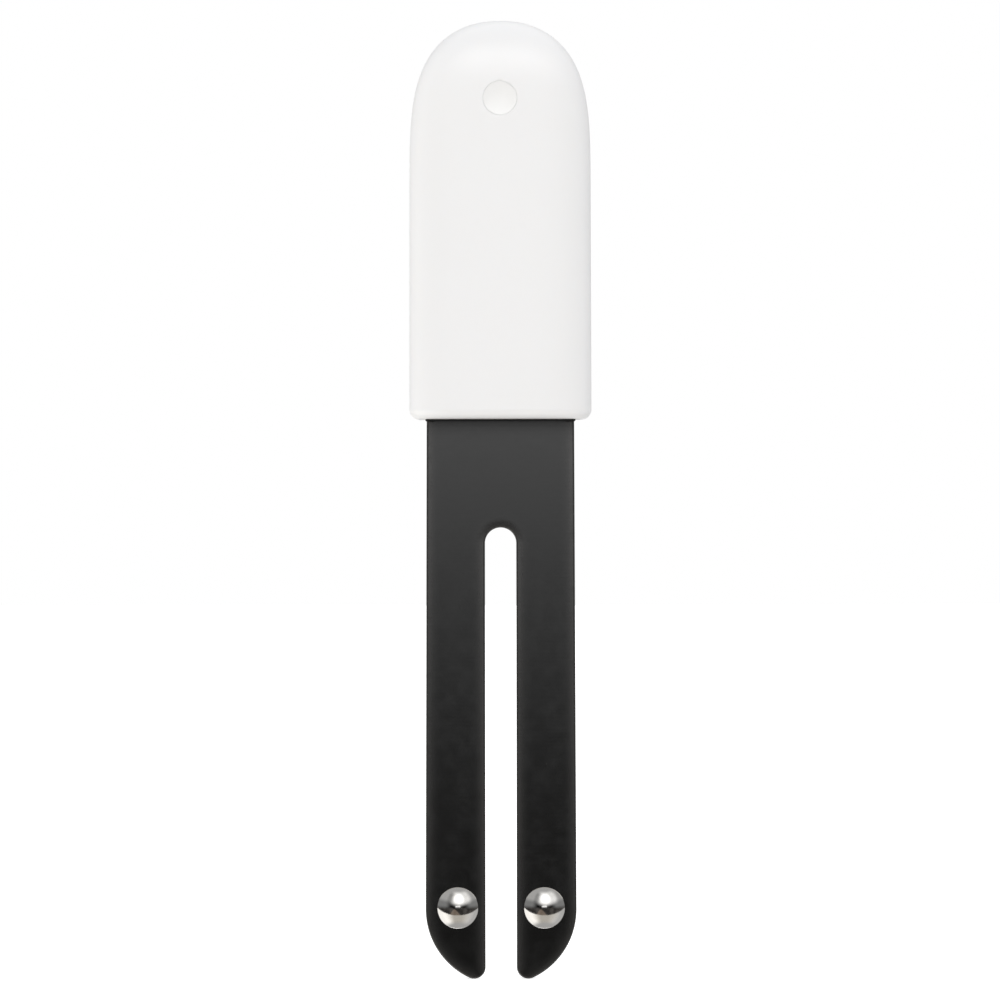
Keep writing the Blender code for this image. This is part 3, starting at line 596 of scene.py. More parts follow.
def make_silicone():
    m = Mat("seal_silicone", (0.50, 0.52, 0.53), 0.42, sss=0.4, sss_radius=(0.5, 0.5, 0.5))
    fine = m.noise(0.1, 3.0)
    m.colour((m.noise(2.0, 2.0).step(0.4, 0.8, to=(0.0, 0.5)), (0.44, 0.46, 0.47)))
    m.rough(fine * 0.16 + 0.34)
    m.bump((fine, 0.0015))
    return m.m


def make_frost():
    """Frosted translucent window."""
    m = Mat("window_frost", (0.935, 0.937, 0.937), 0.30, sss=0.06, sss_radius=(0.8, 0.8, 0.8))
    fine = m.noise(0.09, 3.0, 0.6)
    m.colour((m.noise(1.1, 3.0).step(0.4, 0.8, to=(0.0, 0.4)), (0.92, 0.922, 0.922)))
    m.rough(fine * 0.14 + 0.24)
    m.bump((fine, 0.0012))
    return m.m


def make_acrylic():
    """Clear polished acrylic with faint turning marks."""
    m = Mat("pipe_clear", (0.93, 0.95, 0.955), 0.06, ior=1.49, transmission=0.82)
    fine = m.noise(0.2, 3.0, 0.6, m.stretch((1.0, 4.0, 1.0)))
    m.colour((m.noise(1.5, 2.0).step(0.45, 0.8, to=(0.0, 0.4)), (0.88, 0.91, 0.92)))
    m.rough(fine.step(0.4, 0.8, to=(0.04, 0.14)))
    m.bump((fine, 0.0008))
    return m.m


def make_chip():
    """Black moulding compound: matt, speckled with filler."""
    m = Mat("chip_black", (0.020, 0.020, 0.0215), 0.5)
    filler = m.noise(0.05, 3.0, 0.7)
    m.colour((filler.step(0.55, 0.8, to=(0.0, 0.8)), (0.05, 0.05, 0.052)))
    m.rough(filler * 0.2 + 0.42)
    m.bump((filler, 0.003))
    return m.m


def make_ceramic(name, rgb, rough=0.4, depth=0.0015):
    m = Mat(name, rgb, rough)
    grain = m.noise(0.06, 3.0, 0.65)
    m.colour((grain.step(0.4, 0.8, to=(0.0, 0.6)), tuple(c * 0.72 for c in rgb)),
             (m.noise(0.6, 2.0).step(0.5, 0.8, to=(0.0, 0.4)), tuple(min(1.0, c * 1.2) for c in rgb)))
    m.rough(grain * 0.15 + (rough - 0.07))
    m.bump((grain, depth))
    return m.m


def make_tin(name="tin", rgb=(0.66, 0.66, 0.65), rough=0.3):
    """Solder and tinned metal: bright with a soft grain."""
    m = Mat(name, rgb, rough, metal=1.0)
    grain = m.noise(0.12, 3.0, 0.6)
    m.colour((grain.step(0.45, 0.8, to=(0.0, 0.6)), tuple(c * 0.8 for c in rgb)))
    m.rough(grain * 0.22 + (rough - 0.1))
    m.bump((grain, 0.004))
    return m.m


def make_track():
    """Solder mask over copper: the board's black, a touch warmer where the copper lies under it."""
    m = Mat("mask_over_copper", (0.016, 0.0155, 0.0145), 0.2)
    fine = m.noise(0.12, 3.0, 0.6)
    m.colour((fine.step(0.4, 0.8, to=(0.0, 0.6)), (0.022, 0.020, 0.017)))
    m.rough(fine * 0.1 + 0.16)
    m.bump((fine, 0.0006))
    return m.m


def make_amber():
    """Tinted clear resin of the light sensor."""
    m = Mat("sensor_resin", (0.42, 0.20, 0.06), 0.12, ior=1.53, transmission=0.25)
    fine = m.noise(0.25, 3.0, 0.6)
    m.colour((fine.step(0.4, 0.8, to=(0.0, 0.5)), (0.30, 0.13, 0.035)))
    m.rough(fine * 0.1 + 0.08)
    m.bump((fine, 0.0008))
    return m.m


MAT = {
    "cap": make_cap_white(),
    "frost": make_frost(),
    "plug": moulded("plug_white", (0.84, 0.84, 0.83), 0.42),
    "frame": moulded("frame_white", (0.78, 0.785, 0.785), 0.46, grain=0.2, depth=0.002),
    "tray": moulded("tray_white", (0.76, 0.765, 0.765), 0.46, grain=0.2, depth=0.002),
    "silicone": make_silicone(),
    "rubber": make_rubber(),
    "mask": make_board_mask(),
    "edge": make_board_edge(),
    "steel": make_steel(),
    "tin": make_tin("collar_tin"),
    "solder": make_tin("solder", (0.70, 0.70, 0.69), 0.24),
    "chip": make_chip(),
    "crystal": brushed("crystal_steel", (0.70, 0.69, 0.66), 0.26, pitch=0.04),
    "sensor": make_acrylic(),
    "led": make_ceramic("led_white", (0.85, 0.84, 0.76), 0.35, 0.0008),
    "thermistor": make_ceramic("thermistor_dark", (0.12, 0.09, 0.07), 0.42),
    "gold": make_tin("antenna_gold", (0.86, 0.62, 0.28), 0.28),
    "cap_tan": make_ceramic("capacitor_tan", (0.42, 0.30, 0.19), 0.4),
    "resistor": make_ceramic("resistor_black", (0.03, 0.03, 0.034), 0.35),
    "ferrite": make_ceramic("inductor_grey", (0.17, 0.17, 0.18), 0.5, 0.004),
    "nickel": brushed("contact_nickel", (0.74, 0.71, 0.64), 0.27, pitch=0.06),
    "can": brushed("cell_steel", (0.70, 0.70, 0.69), 0.26, centre=(0.0, CELL_Z), pitch=0.09),
    "cellcap": brushed("cell_cap_steel", (0.68, 0.68, 0.67), 0.28, centre=(0.0, CELL_Z), pitch=0.09),
    "gasket": make_rubber("gasket_dark", (0.04, 0.04, 0.044), 0.5),
    "lithium": make_tin("anode_lithium", (0.62, 0.62, 0.64), 0.45),
    "paper": make_ceramic("separator_white", (0.84, 0.83, 0.79), 0.85, 0.006),
    "oxide": make_ceramic("cathode_black", (0.04, 0.038, 0.036), 0.85, 0.008),
    "track": make_track(),
    "amber": make_amber(),
    "phosphor": make_ceramic("led_phosphor", (0.80, 0.62, 0.16), 0.3, 0.0006),
    "alumina": make_ceramic("crystal_base", (0.055, 0.05, 0.048), 0.5),
    "lid": make_tin("crystal_lid", (0.72, 0.70, 0.65), 0.24),
}


# ------------------------------------------------------------------ the cap
def make_cap():
    n = 176
    outer = []
    for k in range(13):
        t = 0.5 * math.pi * k / 12
        inset = RIM_R * (1.0 - math.sin(t))
        z = RIM_R * (1.0 - math.cos(t))
        a, b, nf, nr = cap_section(z)
        outer.append((z, a - inset, b - inset, nf + 0.9 * inset, nr + 1.6 * inset))
    z = RIM_R
    for k in range(1, 9):
        z = RIM_R + (CAP_H - DOME_D - RIM_R) * k / 9
        outer.append((z, *cap_section(z)))
    steps = 64
    for k in range(steps):
        s = 1.0 - k / steps
        z = CAP_H - DOME_D * s * s
        outer.append((z, *cap_section(z)))
    outer.append((CAP_H - 0.0018, *cap_section(CAP_H - 0.0018)))
    inner = []
    r = 0.06
    for k in range(6):
        t = 0.5 * math.pi * k / 5
        z = r * (1.0 - math.cos(t))
        a, b, nf, nr = cavity_section(z)
        out = r * (1.0 - math.sin(t))
        inner.append((z, a + out, b + out, nf, nr))
    for k in range(1, 6):
        z = 0.06 + (CAP_H - WALL - DOME_D - 0.06) * k / 6
        inner.append((z, *cavity_section(z)))
    steps = 30
    for k in range(steps):
        s = 1.0 - k / steps
        z = CAP_H - WALL - DOME_D * s * s
        inner.append((z, *cavity_section(z)))
    inner.append((CAP_H - WALL - 0.006, *cavity_section(CAP_H - WALL - 0.006)))
    bm = bmesh.new()
    rings = []
    for group in (outer, inner):
        rings.append([[bm.verts.new((x, y, z)) for x, y in oval(a, b, nf, nr, n)] for z, a, b, nf, nr in group])
    bridge(bm, rings[0])
    fan(bm, rings[0][-1], (0.0, 0.0, CAP_H))
    bridge(bm, rings[1])
    fan(bm, rings[1][-1], (0.0, 0.0, CAP_H - WALL))
    bridge(bm, [rings[1][0], rings[0][0]])
    cap = done("cap_skin", bm, MAT["cap"], None, angle=50.0)
    # the window's hole: softened front edge, bore, then the wider seat of the flange
    front = -CAP_B
    f = 0.045
    profile = [(0.0, front - 1.0), (WIN_R + f, front - 1.0), (WIN_R + f, front)]
    for k in range(1, 6):
        t = 0.5 * math.pi * k / 5
        profile.append((WIN_R + f * (1.0 - math.sin(t)), front + f * (1.0 - math.cos(t))))
    profile += [(WIN_R, front + 0.85), (WIN_FLANGE_R, front + 0.85), (WIN_FLANGE_R, front + WALL + 1.2),
                (0.0, front + WALL + 1.2)]
    cutter = turned("cutter", profile, (0.0, WIN_Z), None, 72, body=None)
    apply_cuts(cap, [("DIFFERENCE", cutter)], smooth_angle=50.0)
    weigh(cap)
    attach(cap, "cap")
    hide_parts("cap_shell")
    return cap


def make_window():
    front = -CAP_B
    face = front + WIN_RECESS
    r, f = WIN_R - 0.014, WIN_FLANGE_R - 0.06
    profile = [(0.0, face + 0.20)]
    for k in range(1, 17):
        u = k / 16 * 0.97
        profile.append((r * u, face + 0.20 * (1.0 - u * u)))
    profile += [(r * 0.988, face + 0.010), (r, face + 0.022), (r, front + 0.90), (f, front + 0.90),
                (f, front + WALL - 0.03), (0.0, front + WALL - 0.03)]
    return turned("window_lens", profile, (0.0, WIN_Z), MAT["frost"], 72, body="cap", replaces=("light_window",),
                  slot="window_frost", angle=40.0)


# ------------------------------------------------------------------ the board
def board_points():
    """The board's outline, counter-clockwise from the slot's top, with the inward rounding allowed at each point."""
    top_c = SLOT_TOP - SLOT_W
    right = arc(0.0, top_c, SLOT_W, 90, 0, 20)
    x0, z0 = right[-1]
    fx = SLOT_W + TIP_R
    reach = BLADE_W_END - TIP_R
    fz = END_Z - math.sqrt(reach * reach - fx * fx)
    angle = math.degrees(math.atan2(fz - END_Z, fx))
    for k in range(1, 12):
        right.append((SLOT_W, z0 + (fz - z0) * k / 12))
    right += arc(fx, fz, TIP_R, 180, 360 + angle, 26)
    right += arc(0.0, END_Z, BLADE_W_END, angle, 0, 44)[1:]
    rows = [END_Z + (-2.4 - END_Z) * k / 15 for k in range(1, 16)] + [-1.5, -0.9, -0.6, -0.42, -0.3]
    for z in rows:
        right.append((BLADE_W_END + (BLADE_W_TOP - BLADE_W_END) * (z - END_Z) / (0.0 - END_Z), z))
    right += [(BLADE_W_TOP, 0.0), (BLADE_W_TOP, SHOULDER_Z - 0.12), (BLADE_W_TOP - 0.12, SHOULDER_Z),
              (BOARD_IN_W, SHOULDER_Z), (BOARD_IN_W, 4.2)]
    for k in range(8):
        right.append((BOARD_IN_W, 4.6 + (BOARD_ARC_Z - 4.6) * k / 8))
    height = BOARD_TOP - BOARD_ARC_Z
    for k in range(40):
        t = 0.5 * math.pi * k / 40
        right.append((BOARD_IN_W * math.cos(t) ** 0.92, BOARD_ARC_Z + height * math.sin(t) ** 0.92))
    left = [(-x, z) for x, z in reversed(right[1:])]
    return right + [(0.0, BOARD_TOP)] + left


def inward(points):
    """Inward unit offset at each point, lengthened at corners."""
    out = []
    n = len(points)
    for i in range(n):
        (x0, z0), (x1, z1), (x2, z2) = points[i - 1], points[i], points[(i + 1) % n]
        l0, l1 = math.hypot(x1 - x0, z1 - z0), math.hypot(x2 - x1, z2 - z1)
        n0 = (-(z1 - z0) / l0, (x1 - x0) / l0)
        n1 = (-(z2 - z1) / l1, (x2 - x1) / l1)
        mx, mz = n0[0] + n1[0], n0[1] + n1[1]
        length = math.hypot(mx, mz)
        mx, mz = mx / length, mz / length
        out.append((mx / max(0.5, mx * n0[0] + mz * n0[1]), mz / max(0.5, mx * n0[0] + mz * n0[1])))
    return out


def make_board():
    """The board, with routed sides, a small roll at the edges and a faint crown of the mask towards them."""
    pts = board_points()
    area = sum(x0 * z1 - x1 * z0 for (x0, z0), (x1, z1) in zip(pts, pts[1:] + pts[:1]))
    dirs = inward(pts)
    if area < 0:
        dirs = [(-x, -z) for x, z in dirs]
    h = BOARD_T / 2
    profile = [(0.0, h - 0.20), (0.02, h - 0.135), (0.06, h - 0.095), (0.12, h - CROWN)]
    for d in (0.24, 0.40, 0.58, 0.78, 0.98, 1.20):
        profile.append((d, h - CROWN * (1.0 - (d - 0.12) / 1.08) ** 2))
    profile.append((1.36, h))
    bm = bmesh.new()
    rings, mats = [], []
    for sign in (-1, 1):
        order = list(reversed(profile)) if sign < 0 else profile
        for d, y in order:
            ring = []
            for (x, z), (dx, dz) in zip(pts, dirs):
                f = 1.0 if (z <= -0.25 or z >= 4.5) else 0.08
                ring.append(bm.verts.new((x + dx * d * f, sign * y, z + dz * d * f)))
            rings.append(ring)
    mats = [0] * (len(profile) - 1) + [1] + [0] * (len(profile) - 1)
    bridge(bm, rings, mat=mats)
    bm.faces.new(rings[0])
    bm.faces.new(list(reversed(rings[-1])))
    ob = done("board_body", bm, [MAT["mask"], MAT["edge"]], None, angle=50.0)
    cutters = [("DIFFERENCE", rod("c", s * EL_X, EL_Z, EL_HOLE_R, -2.0, 2.0)) for s in (-1, 1)]
    cutters += [("DIFFERENCE", rod("c", x, z, POST_HOLE_R, -2.0, 2.0)) for x, z in POSTS]
    apply_cuts(ob, cutters, smooth_angle=50.0)
    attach(ob, "probe")
    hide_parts("probe_board")
    return ob





def make_electrodes():
    sphere = (EL_R * EL_R + EL_H * EL_H) / (2 * EL_H)
    base = -BOARD_T / 2 - 0.05
    top = base - EL_H
    for side, x in (("left", -EL_X), ("right", EL_X)):
        profile = [(0.0, top)]
        reach = math.asin((EL_R - 0.035) / sphere)
        for k in range(1, 37):
            t = reach * k / 36
            profile.append((sphere * math.sin(t), top + sphere * (1 - math.cos(t))))
        profile += [(EL_R - 0.005, base - 0.045), (EL_R, base - 0.02), (EL_R - 0.02, base), (EL_SHANK_R, base),
                    (EL_SHANK_R, BOARD_T / 2 + 0.60), (0.68, BOARD_T / 2 + 0.70), (0.5, BOARD_T / 2 + 0.75),
                    (0.0, BOARD_T / 2 + 0.75)]
        turned("electrode_dome_" + side, profile, (x, EL_Z), MAT["steel"], 96, replaces=("electrode_" + side,),
               slot="electrode_steel", angle=45.0)
        y = BOARD_T / 2 + 0.05
        loop = [(EL_SHANK_R + 0.06, y), (1.84, y), (1.9, y + 0.04), (1.9, y + 0.10), (1.84, y + 0.15), (1.62, y + 0.30),
                (1.38, y + 0.46), (1.30, y + 0.5), (EL_SHANK_R + 0.10, y + 0.5), (EL_SHANK_R + 0.06, y + 0.46)]
        turned("collar_ring_" + side, loop, (x, EL_Z), MAT["tin"], 48, solid=False,
               replaces=("electrode_collar_" + side,), slot="collar_tin", angle=40.0)


def make_blade_seal():
    """The rubber collar, stepped like the board, with a rounded lip under the plug."""
    t, hole_t = 1.02, BOARD_T / 2 + 0.02
    wide, narrow = BLADE_W_TOP + 0.16, BOARD_IN_W + 0.36
    hole_wide, hole_narrow = BLADE_W_TOP + 0.03, BOARD_IN_W + 0.04
    bm = bmesh.new()

    def loop(x, y, z, r, steps=8):
        pts = []
        for cx, cy, a0 in ((x - r, y - r, 0), (-x + r, y - r, 90), (-x + r, -y + r, 180), (x - r, -y + r, 270)):
            for i in range(steps + 1):
                t0 = math.radians(a0 + 90 * i / steps)
                pts.append(bm.verts.new((cx + r * math.cos(t0), cy + r * math.sin(t0), z)))
        return pts

    rows = [loop(wide - 0.07, t - 0.07, -0.26, 0.33), loop(wide - 0.02, t - 0.02, -0.235, 0.38), loop(wide, t, -0.18, 0.4),
            loop(wide, t, 0.86, 0.4), loop(narrow, t, 0.86, 0.4), loop(narrow, t, 2.55, 0.4),
            loop(narrow - 0.05, t - 0.05, 2.6, 0.35), loop(hole_narrow, hole_t, 2.6, 0.02),
            loop(hole_narrow, hole_t, SHOULDER_Z + 0.06, 0.02), loop(hole_wide, hole_t, SHOULDER_Z + 0.06, 0.02),
            loop(hole_wide, hole_t, -0.20, 0.02), loop(hole_wide + 0.04, hole_t + 0.04, -0.25, 0.06)]
    bridge(bm, rows, closed=True)
    return done("blade_seal_collar", bm, MAT["rubber"], "probe", ("blade_seal",), "collar_rubber", 40.0)


def make_plug():
    def at(z, gap, dnf=0.0, dnr=0.0):
        a, b, nf, nr = cavity_section(z, gap)
        return z, a, b, nf + dnf, nr + dnr
    g = 0.12
    rows = [at(0.0, 0.07), at(0.02, 0.045), at(0.06, 0.035), at(0.5, 0.035), at(0.56, g), at(SEAL_Z - 0.62, g), at(SEAL_Z - 0.55, g + 0.05),
            at(SEAL_Z - 0.5, g + 0.8, -0.5, -1.2), at(SEAL_Z + 0.5, g + 0.8, -0.5, -1.2), at(SEAL_Z + 0.55, g + 0.05),
            at(SEAL_Z + 0.62, g), at(PLUG_H - 0.12, g), at(PLUG_H, g + 0.12)]
    bm = bmesh.new()
    rings = [[bm.verts.new((x, y, z)) for x, y in oval(a, b, nf, nr, 128)] for z, a, b, nf, nr in rows]
    bridge(bm, rings)
    bm.faces.new(rings[-1])
    bm.faces.new(list(reversed(rings[0])))
    ob = done("plug_body", bm, MAT["plug"], None, angle=30.0)
    w = BOARD_IN_W + 0.45
    cutters = [("DIFFERENCE", block("c", (-w, -1.12, 0.5), (w, 1.12, PLUG_H + 1.0), None)),
               ("DIFFERENCE", block("c", (-9.87, -1.12, -1.0), (9.87, 1.12, 0.98), None))]
    apply_cuts(ob, cutters, smooth_angle=30.0)
    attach(ob, "probe")
    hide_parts("base_plug")
    return ob


def make_seal_ring():
    a, b, nf, nr = cavity_section(SEAL_Z)
    inset = 0.05 + SEAL_R
    path = oval(a - inset, b - inset, nf - 0.5, nr - 1.0, 240)
    n = len(path)
    bm = bmesh.new()
    rings = []
    for i in range(n):
        (x0, y0), (x1, y1) = path[i - 1], path[(i + 1) % n]
        tx, ty = x1 - x0, y1 - y0
        length = math.hypot(tx, ty)
        nx, ny = ty / length, -tx / length
        rings.append([bm.verts.new((path[i][0] + nx * SEAL_R * math.cos(t), path[i][1] + ny * SEAL_R * math.cos(t),
                                    SEAL_Z + SEAL_R * math.sin(t))) for t in (2 * math.pi * k / 24 for k in range(24))])
    bridge(bm, rings, closed=True)
    return done("seal_ring_silicone", bm, MAT["silicone"], "probe", ("seal_ring",), "seal_silicone", 60.0)


# ------------------------------------------------------------------ frames inside the cap
def frame_loft(name, gap, mat, y0, y1):
    zs = [CHASSIS_Z0] + [CHASSIS_Z0 + (24.0 - CHASSIS_Z0) * k / 3 for k in (1, 2, 3)]
    zs += [24.0 + (CHASSIS_TOP - 24.0) * (1 - (1 - k / 18) ** 1.5) for k in range(1, 19)]
    bm = bmesh.new()
    rings = [[bm.verts.new((x, y, z)) for x, y in oval(*cavity_section(z, gap), 96)] for z in zs]
    bridge(bm, rings)
    bm.faces.new(rings[-1])
    bm.faces.new(list(reversed(rings[0])))
    ob = done(name, bm, mat, None, angle=35.0)
    keep = block("c", (-20.0, y0, 0.0), (20.0, y1, 60.0), None)
    return ob, [("INTERSECT", keep)]


def make_chassis_front():
    ob, cuts = frame_loft("front_frame", 0.16, MAT["frame"], -20.0, -1.0)
    for x0, z0, x1, z1 in ((-8.7, 8.9, 8.7, 30.9), (-7.6, 35.1, 7.6, 38.2)):
        cuts.append(("DIFFERENCE", plate("c", rounded(x0, z0, x1, z1, 0.9), -9.0, 0.0, None)))
    cuts.append(("DIFFERENCE", block("c", (-6.9, -2.7, 38.2), (6.9, 0.0, 44.9), None)))
    cuts.append(("DIFFERENCE", rod("c", 0.0, WIN_Z, 2.15, -9.0, 0.0, 48)))
    for x, z in POSTS:
        cuts.append(("DIFFERENCE", rod("c", x, z, POST_HOLE_R, -3.2, 0.0)))
    apply_cuts(ob, cuts, bevel=0.09)
    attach(ob, "probe")
    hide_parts("chassis_front")
    return ob


def make_battery_tray():
    ob, cuts = frame_loft("rear_tray", 0.16, MAT["tray"], -0.85, 20.0)
    w = BOARD_IN_W + 0.15
    cuts += [("DIFFERENCE", block("c", (-w, -3.0, 0.0), (w, BOARD_T / 2 + 0.12, 36.0), None)),
             ("DIFFERENCE", block("c", (-20.0, -3.0, 34.0), (20.0, BOARD_T / 2 + 0.12, 60.0), None)),
             ("DIFFERENCE", rod("c", 0.0, CELL_Z, CELL_R + 0.05, BOARD_T / 2 - 0.4, 9.0, 128)),
             ("DIFFERENCE", block("c", (-2.4, 0.0, 26.0), (2.4, 9.0, 31.4), None)),
             ("DIFFERENCE", block("c", (-5.2, 0.0, 32.6), (5.2, 3.2, 43.5), None))]
    for x, z in POSTS:
        post = turned("c", [(0.0, -2.9), (POST_R - 0.15, -2.9), (POST_R, -2.7), (POST_R, 1.6), (0.0, 1.6)], (x, z), None,
                      32, body=None)
        cuts.append(("UNION", post))
    apply_cuts(ob, cuts, bevel=0.08)
    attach(ob, "probe")
    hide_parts("battery_tray")
    return ob


def make_light_pipe():
    y_front = -CAP_B + WALL + 0.28
    profile = [(0.0, y_front), (1.80, y_front), (1.92, y_front + 0.04), (2.0, y_front + 0.12), (2.02, y_front + 0.2),
               (2.02, -2.62), (2.66, -2.62), (2.7, -2.58), (2.7, -2.14), (2.66, -2.1), (1.9, -2.1), (1.7, -1.79),
               (1.66, -1.75), (0.0, -1.75)]
    return turned("light_pipe_rod", profile, (0.0, WIN_Z), MAT["sensor"], 64, replaces=("light_pipe",), slot="pipe_clear",
                  angle=30.0)


# ------------------------------------------------------------------ parts soldered to the board
BOARD_FACE = -BOARD_T / 2      # the face they sit on; they stand towards -Y


def size_of(node):
    lo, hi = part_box(node)
    return [v * 1000.0 for v in lo], [v * 1000.0 for v in hi]


def swap(p, upright):
    """A point made along X, turned to run along Z where the part stands upright."""
    return (p[2], p[1], p[0]) if upright else p


def lay_box(bm, lo, hi, upright, edge=0.0, segments=2, mat=0):
    a, b = swap(lo, upright), swap(hi, upright)
    return box_mesh(bm, [min(a[i], b[i]) for i in range(3)], [max(a[i], b[i]) for i in range(3)], edge, segments, mat)


def fillet(bm, x, out, width, z, height, upright, mat, steps=6):
    """A concave run of solder from a pad's end at x, going out in the given direction, up to a height."""
    profile = [(0.0, 0.0), (0.0, height)]
    for k in range(1, steps):
        t = 0.5 * math.pi * k / steps
        profile.append((abs(out) * (1.0 - math.cos(t)), height * (1.0 - math.sin(t))))
    profile.append((abs(out), 0.0))
    sides = []
    for w in (-width / 2, width / 2):
        taper = 1.0
        sides.append([bm.verts.new(swap((x + math.copysign(u, out), BOARD_FACE - v * taper, z + w * (1.0 - 0.12 * u / abs(out))),
                                        upright)) for u, v in profile])
    for row, flip in ((sides[0], False), (sides[1], True)):
        bm.faces.new(list(reversed(row)) if flip else row).material_index = mat
    n = len(profile)
    for k in range(n):
        m = (k + 1) % n
        bm.faces.new((sides[0][k], sides[0][m], sides[1][m], sides[1][k])).material_index = mat


def make_passive(node, key, bulge=0.02, end=0.30, slot=None):
    """A two-ended part: body, tinned ends that wrap it, and the solder that holds them to their pads."""
    lo, hi = size_of(node)
    upright = (hi[2] - lo[2]) > (hi[0] - lo[0])
    x0, x1 = (lo[2], hi[2]) if upright else (lo[0], hi[0])
    z0, z1 = (lo[0], hi[0]) if upright else (lo[2], hi[2])
    y0 = lo[1]
    bm = bmesh.new()
    lay_box(bm, (x0 + 0.1, y0 + bulge, z0 + bulge), (x1 - 0.1, BOARD_FACE - 0.03, z1 - bulge), upright, 0.035, 2, 0)
    for a, b in ((x0, x0 + end), (x1 - end, x1)):
        lay_box(bm, (a, y0, z0), (b, BOARD_FACE - 0.012, z1), upright, 0.06, 3, 1)
    high = (BOARD_FACE - y0)
    for x, out in ((x0 + 0.01, -0.26), (x1 - 0.01, 0.26)):
        fillet(bm, x, out, z1 - z0 - 0.06, (z0 + z1) / 2, high * 0.62, upright, 1)
        lay_box(bm, (min(x, x + out * 1.25), BOARD_FACE - 0.014, z0 - 0.04), (max(x, x + out * 1.25), BOARD_FACE + 0.01, z1 + 0.04),
                upright, 0.0, 1, 1)
    return done(node + "_soldered", bm, [MAT[key], MAT["solder"]], "probe", (node,), slot, 35.0)


def make_flat_chip(node, pads, pitch):
    """A leadless chip: moulded body with a pin mark, and a row of soldered pads along each edge."""
    lo, hi = size_of(node)
    bm = bmesh.new()
    box_mesh(bm, (lo[0], lo[1], lo[2]), (hi[0], BOARD_FACE - 0.05, hi[2]), 0.05, 3, 0)
    box_mesh(bm, (lo[0] + 0.02, BOARD_FACE - 0.06, lo[2] + 0.02), (hi[0] - 0.02, BOARD_FACE - 0.005, hi[2] - 0.02), 0.0, 1, 1)
    cx, cz = (lo[0] + hi[0]) / 2, (lo[2] + hi[2]) / 2
    for k in range(pads):
        off = (k - (pads - 1) / 2) * pitch
        for upright, x, out, z in ((False, lo[0] + 0.01, -0.2, cz + off), (False, hi[0] - 0.01, 0.2, cz + off),
                                   (True, lo[2] + 0.01, -0.2, cx + off), (True, hi[2] - 0.01, 0.2, cx + off)):
            if abs(off) > ((hi[0] - lo[0]) if upright else (hi[2] - lo[2])) / 2 - 0.3:
                continue
            fillet(bm, x, out, pitch * 0.55, z, 0.2, upright, 1, 4)
    ob = done(node + "_moulded", bm, [MAT["chip"], MAT["solder"]], None, angle=35.0)
    dot = turned("c", [(0.0, lo[1] - 0.5), (0.24, lo[1] - 0.5), (0.24, lo[1] + 0.02), (0.2, lo[1] + 0.05), (0.0, lo[1] + 0.06)],
                 (lo[0] + 0.62, hi[2] - 0.62), None, 32, body=None)
    apply_cuts(ob, [("DIFFERENCE", dot)], smooth_angle=35.0)
    weigh(ob)
    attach(ob, "probe")
    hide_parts(node)
    return ob


def make_leaded_chip(node, leads, pitch):
    """A small outline chip: tapered body and bent leads along its left and right sides."""
    lo, hi = size_of(node)
    bm = bmesh.new()
    mid = (lo[1] + BOARD_FACE) / 2
    taper = 0.09
    ring = []
    for y, t in ((BOARD_FACE - 0.06, taper), (mid, 0.0), (lo[1], taper)):
        r = 0.05
        pts = []
        for cx, cz, a0 in ((hi[0] - t - 0.34 - r, hi[2] - t - r, 0), (lo[0] + t + 0.34 + r, hi[2] - t - r, 90),
                           (lo[0] + t + 0.34 + r, lo[2] + t + r, 180), (hi[0] - t - 0.34 - r, lo[2] + t + r, 270)):
            for i in range(4):
                a = math.radians(a0 + 30 * i)
                pts.append(bm.verts.new((cx + r * math.cos(a), y, cz + r * math.sin(a))))
        ring.append(pts)
    bridge(bm, ring)
    bm.faces.new(ring[0])
    bm.faces.new(list(reversed(ring[-1])))
    cz = (lo[2] + hi[2]) / 2
    w, t = pitch * 0.34, 0.11
    for k in range(leads):
        z = cz + (k - (leads - 1) / 2) * pitch
        for sign, x in ((-1, lo[0] + 0.36), (1, hi[0] - 0.36)):
            top, foot = mid, BOARD_FACE - 0.02
            line = [(0.0, top), (0.10, top), (0.17, top + 0.05), (0.20, foot - 0.12), (0.26, foot - t), (0.36, foot - t)]
            under = [(0.36, foot), (0.22, foot), (0.11, foot - 0.12), (0.08, top + t), (0.0, top + t)]
            outline = line + under
            sides = []
            for dz in (-w / 2, w / 2):
                sides.append([bm.verts.new((x + sign * u, v, z + dz)) for u, v in outline])
            f0, f1 = bm.faces.new(sides[0]), bm.faces.new(list(reversed(sides[1])))
            f0.material_index = f1.material_index = 1
            n = len(outline)
            for i in range(n):
                j = (i + 1) % n
                bm.faces.new((sides[0][i], sides[0][j], sides[1][j], sides[1][i])).material_index = 1
            fillet(bm, x + sign * 0.33, sign * 0.2, w * 1.5, z, 0.07, False, 1, 4)
    ob = done(node + "_moulded", bm, [MAT["chip"], MAT["solder"]], None, angle=30.0)
    dot = turned("c", [(0.0, lo[1] - 0.5), (0.2, lo[1] - 0.5), (0.2, lo[1] + 0.02), (0.16, lo[1] + 0.05), (0.0, lo[1] + 0.06)],
                 (lo[0] + 0.85, hi[2] - 0.5), None, 28, body=None)
    apply_cuts(ob, [("DIFFERENCE", dot)], smooth_angle=30.0)
    weigh(ob)
    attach(ob, "probe")
    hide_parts(node)
    return ob


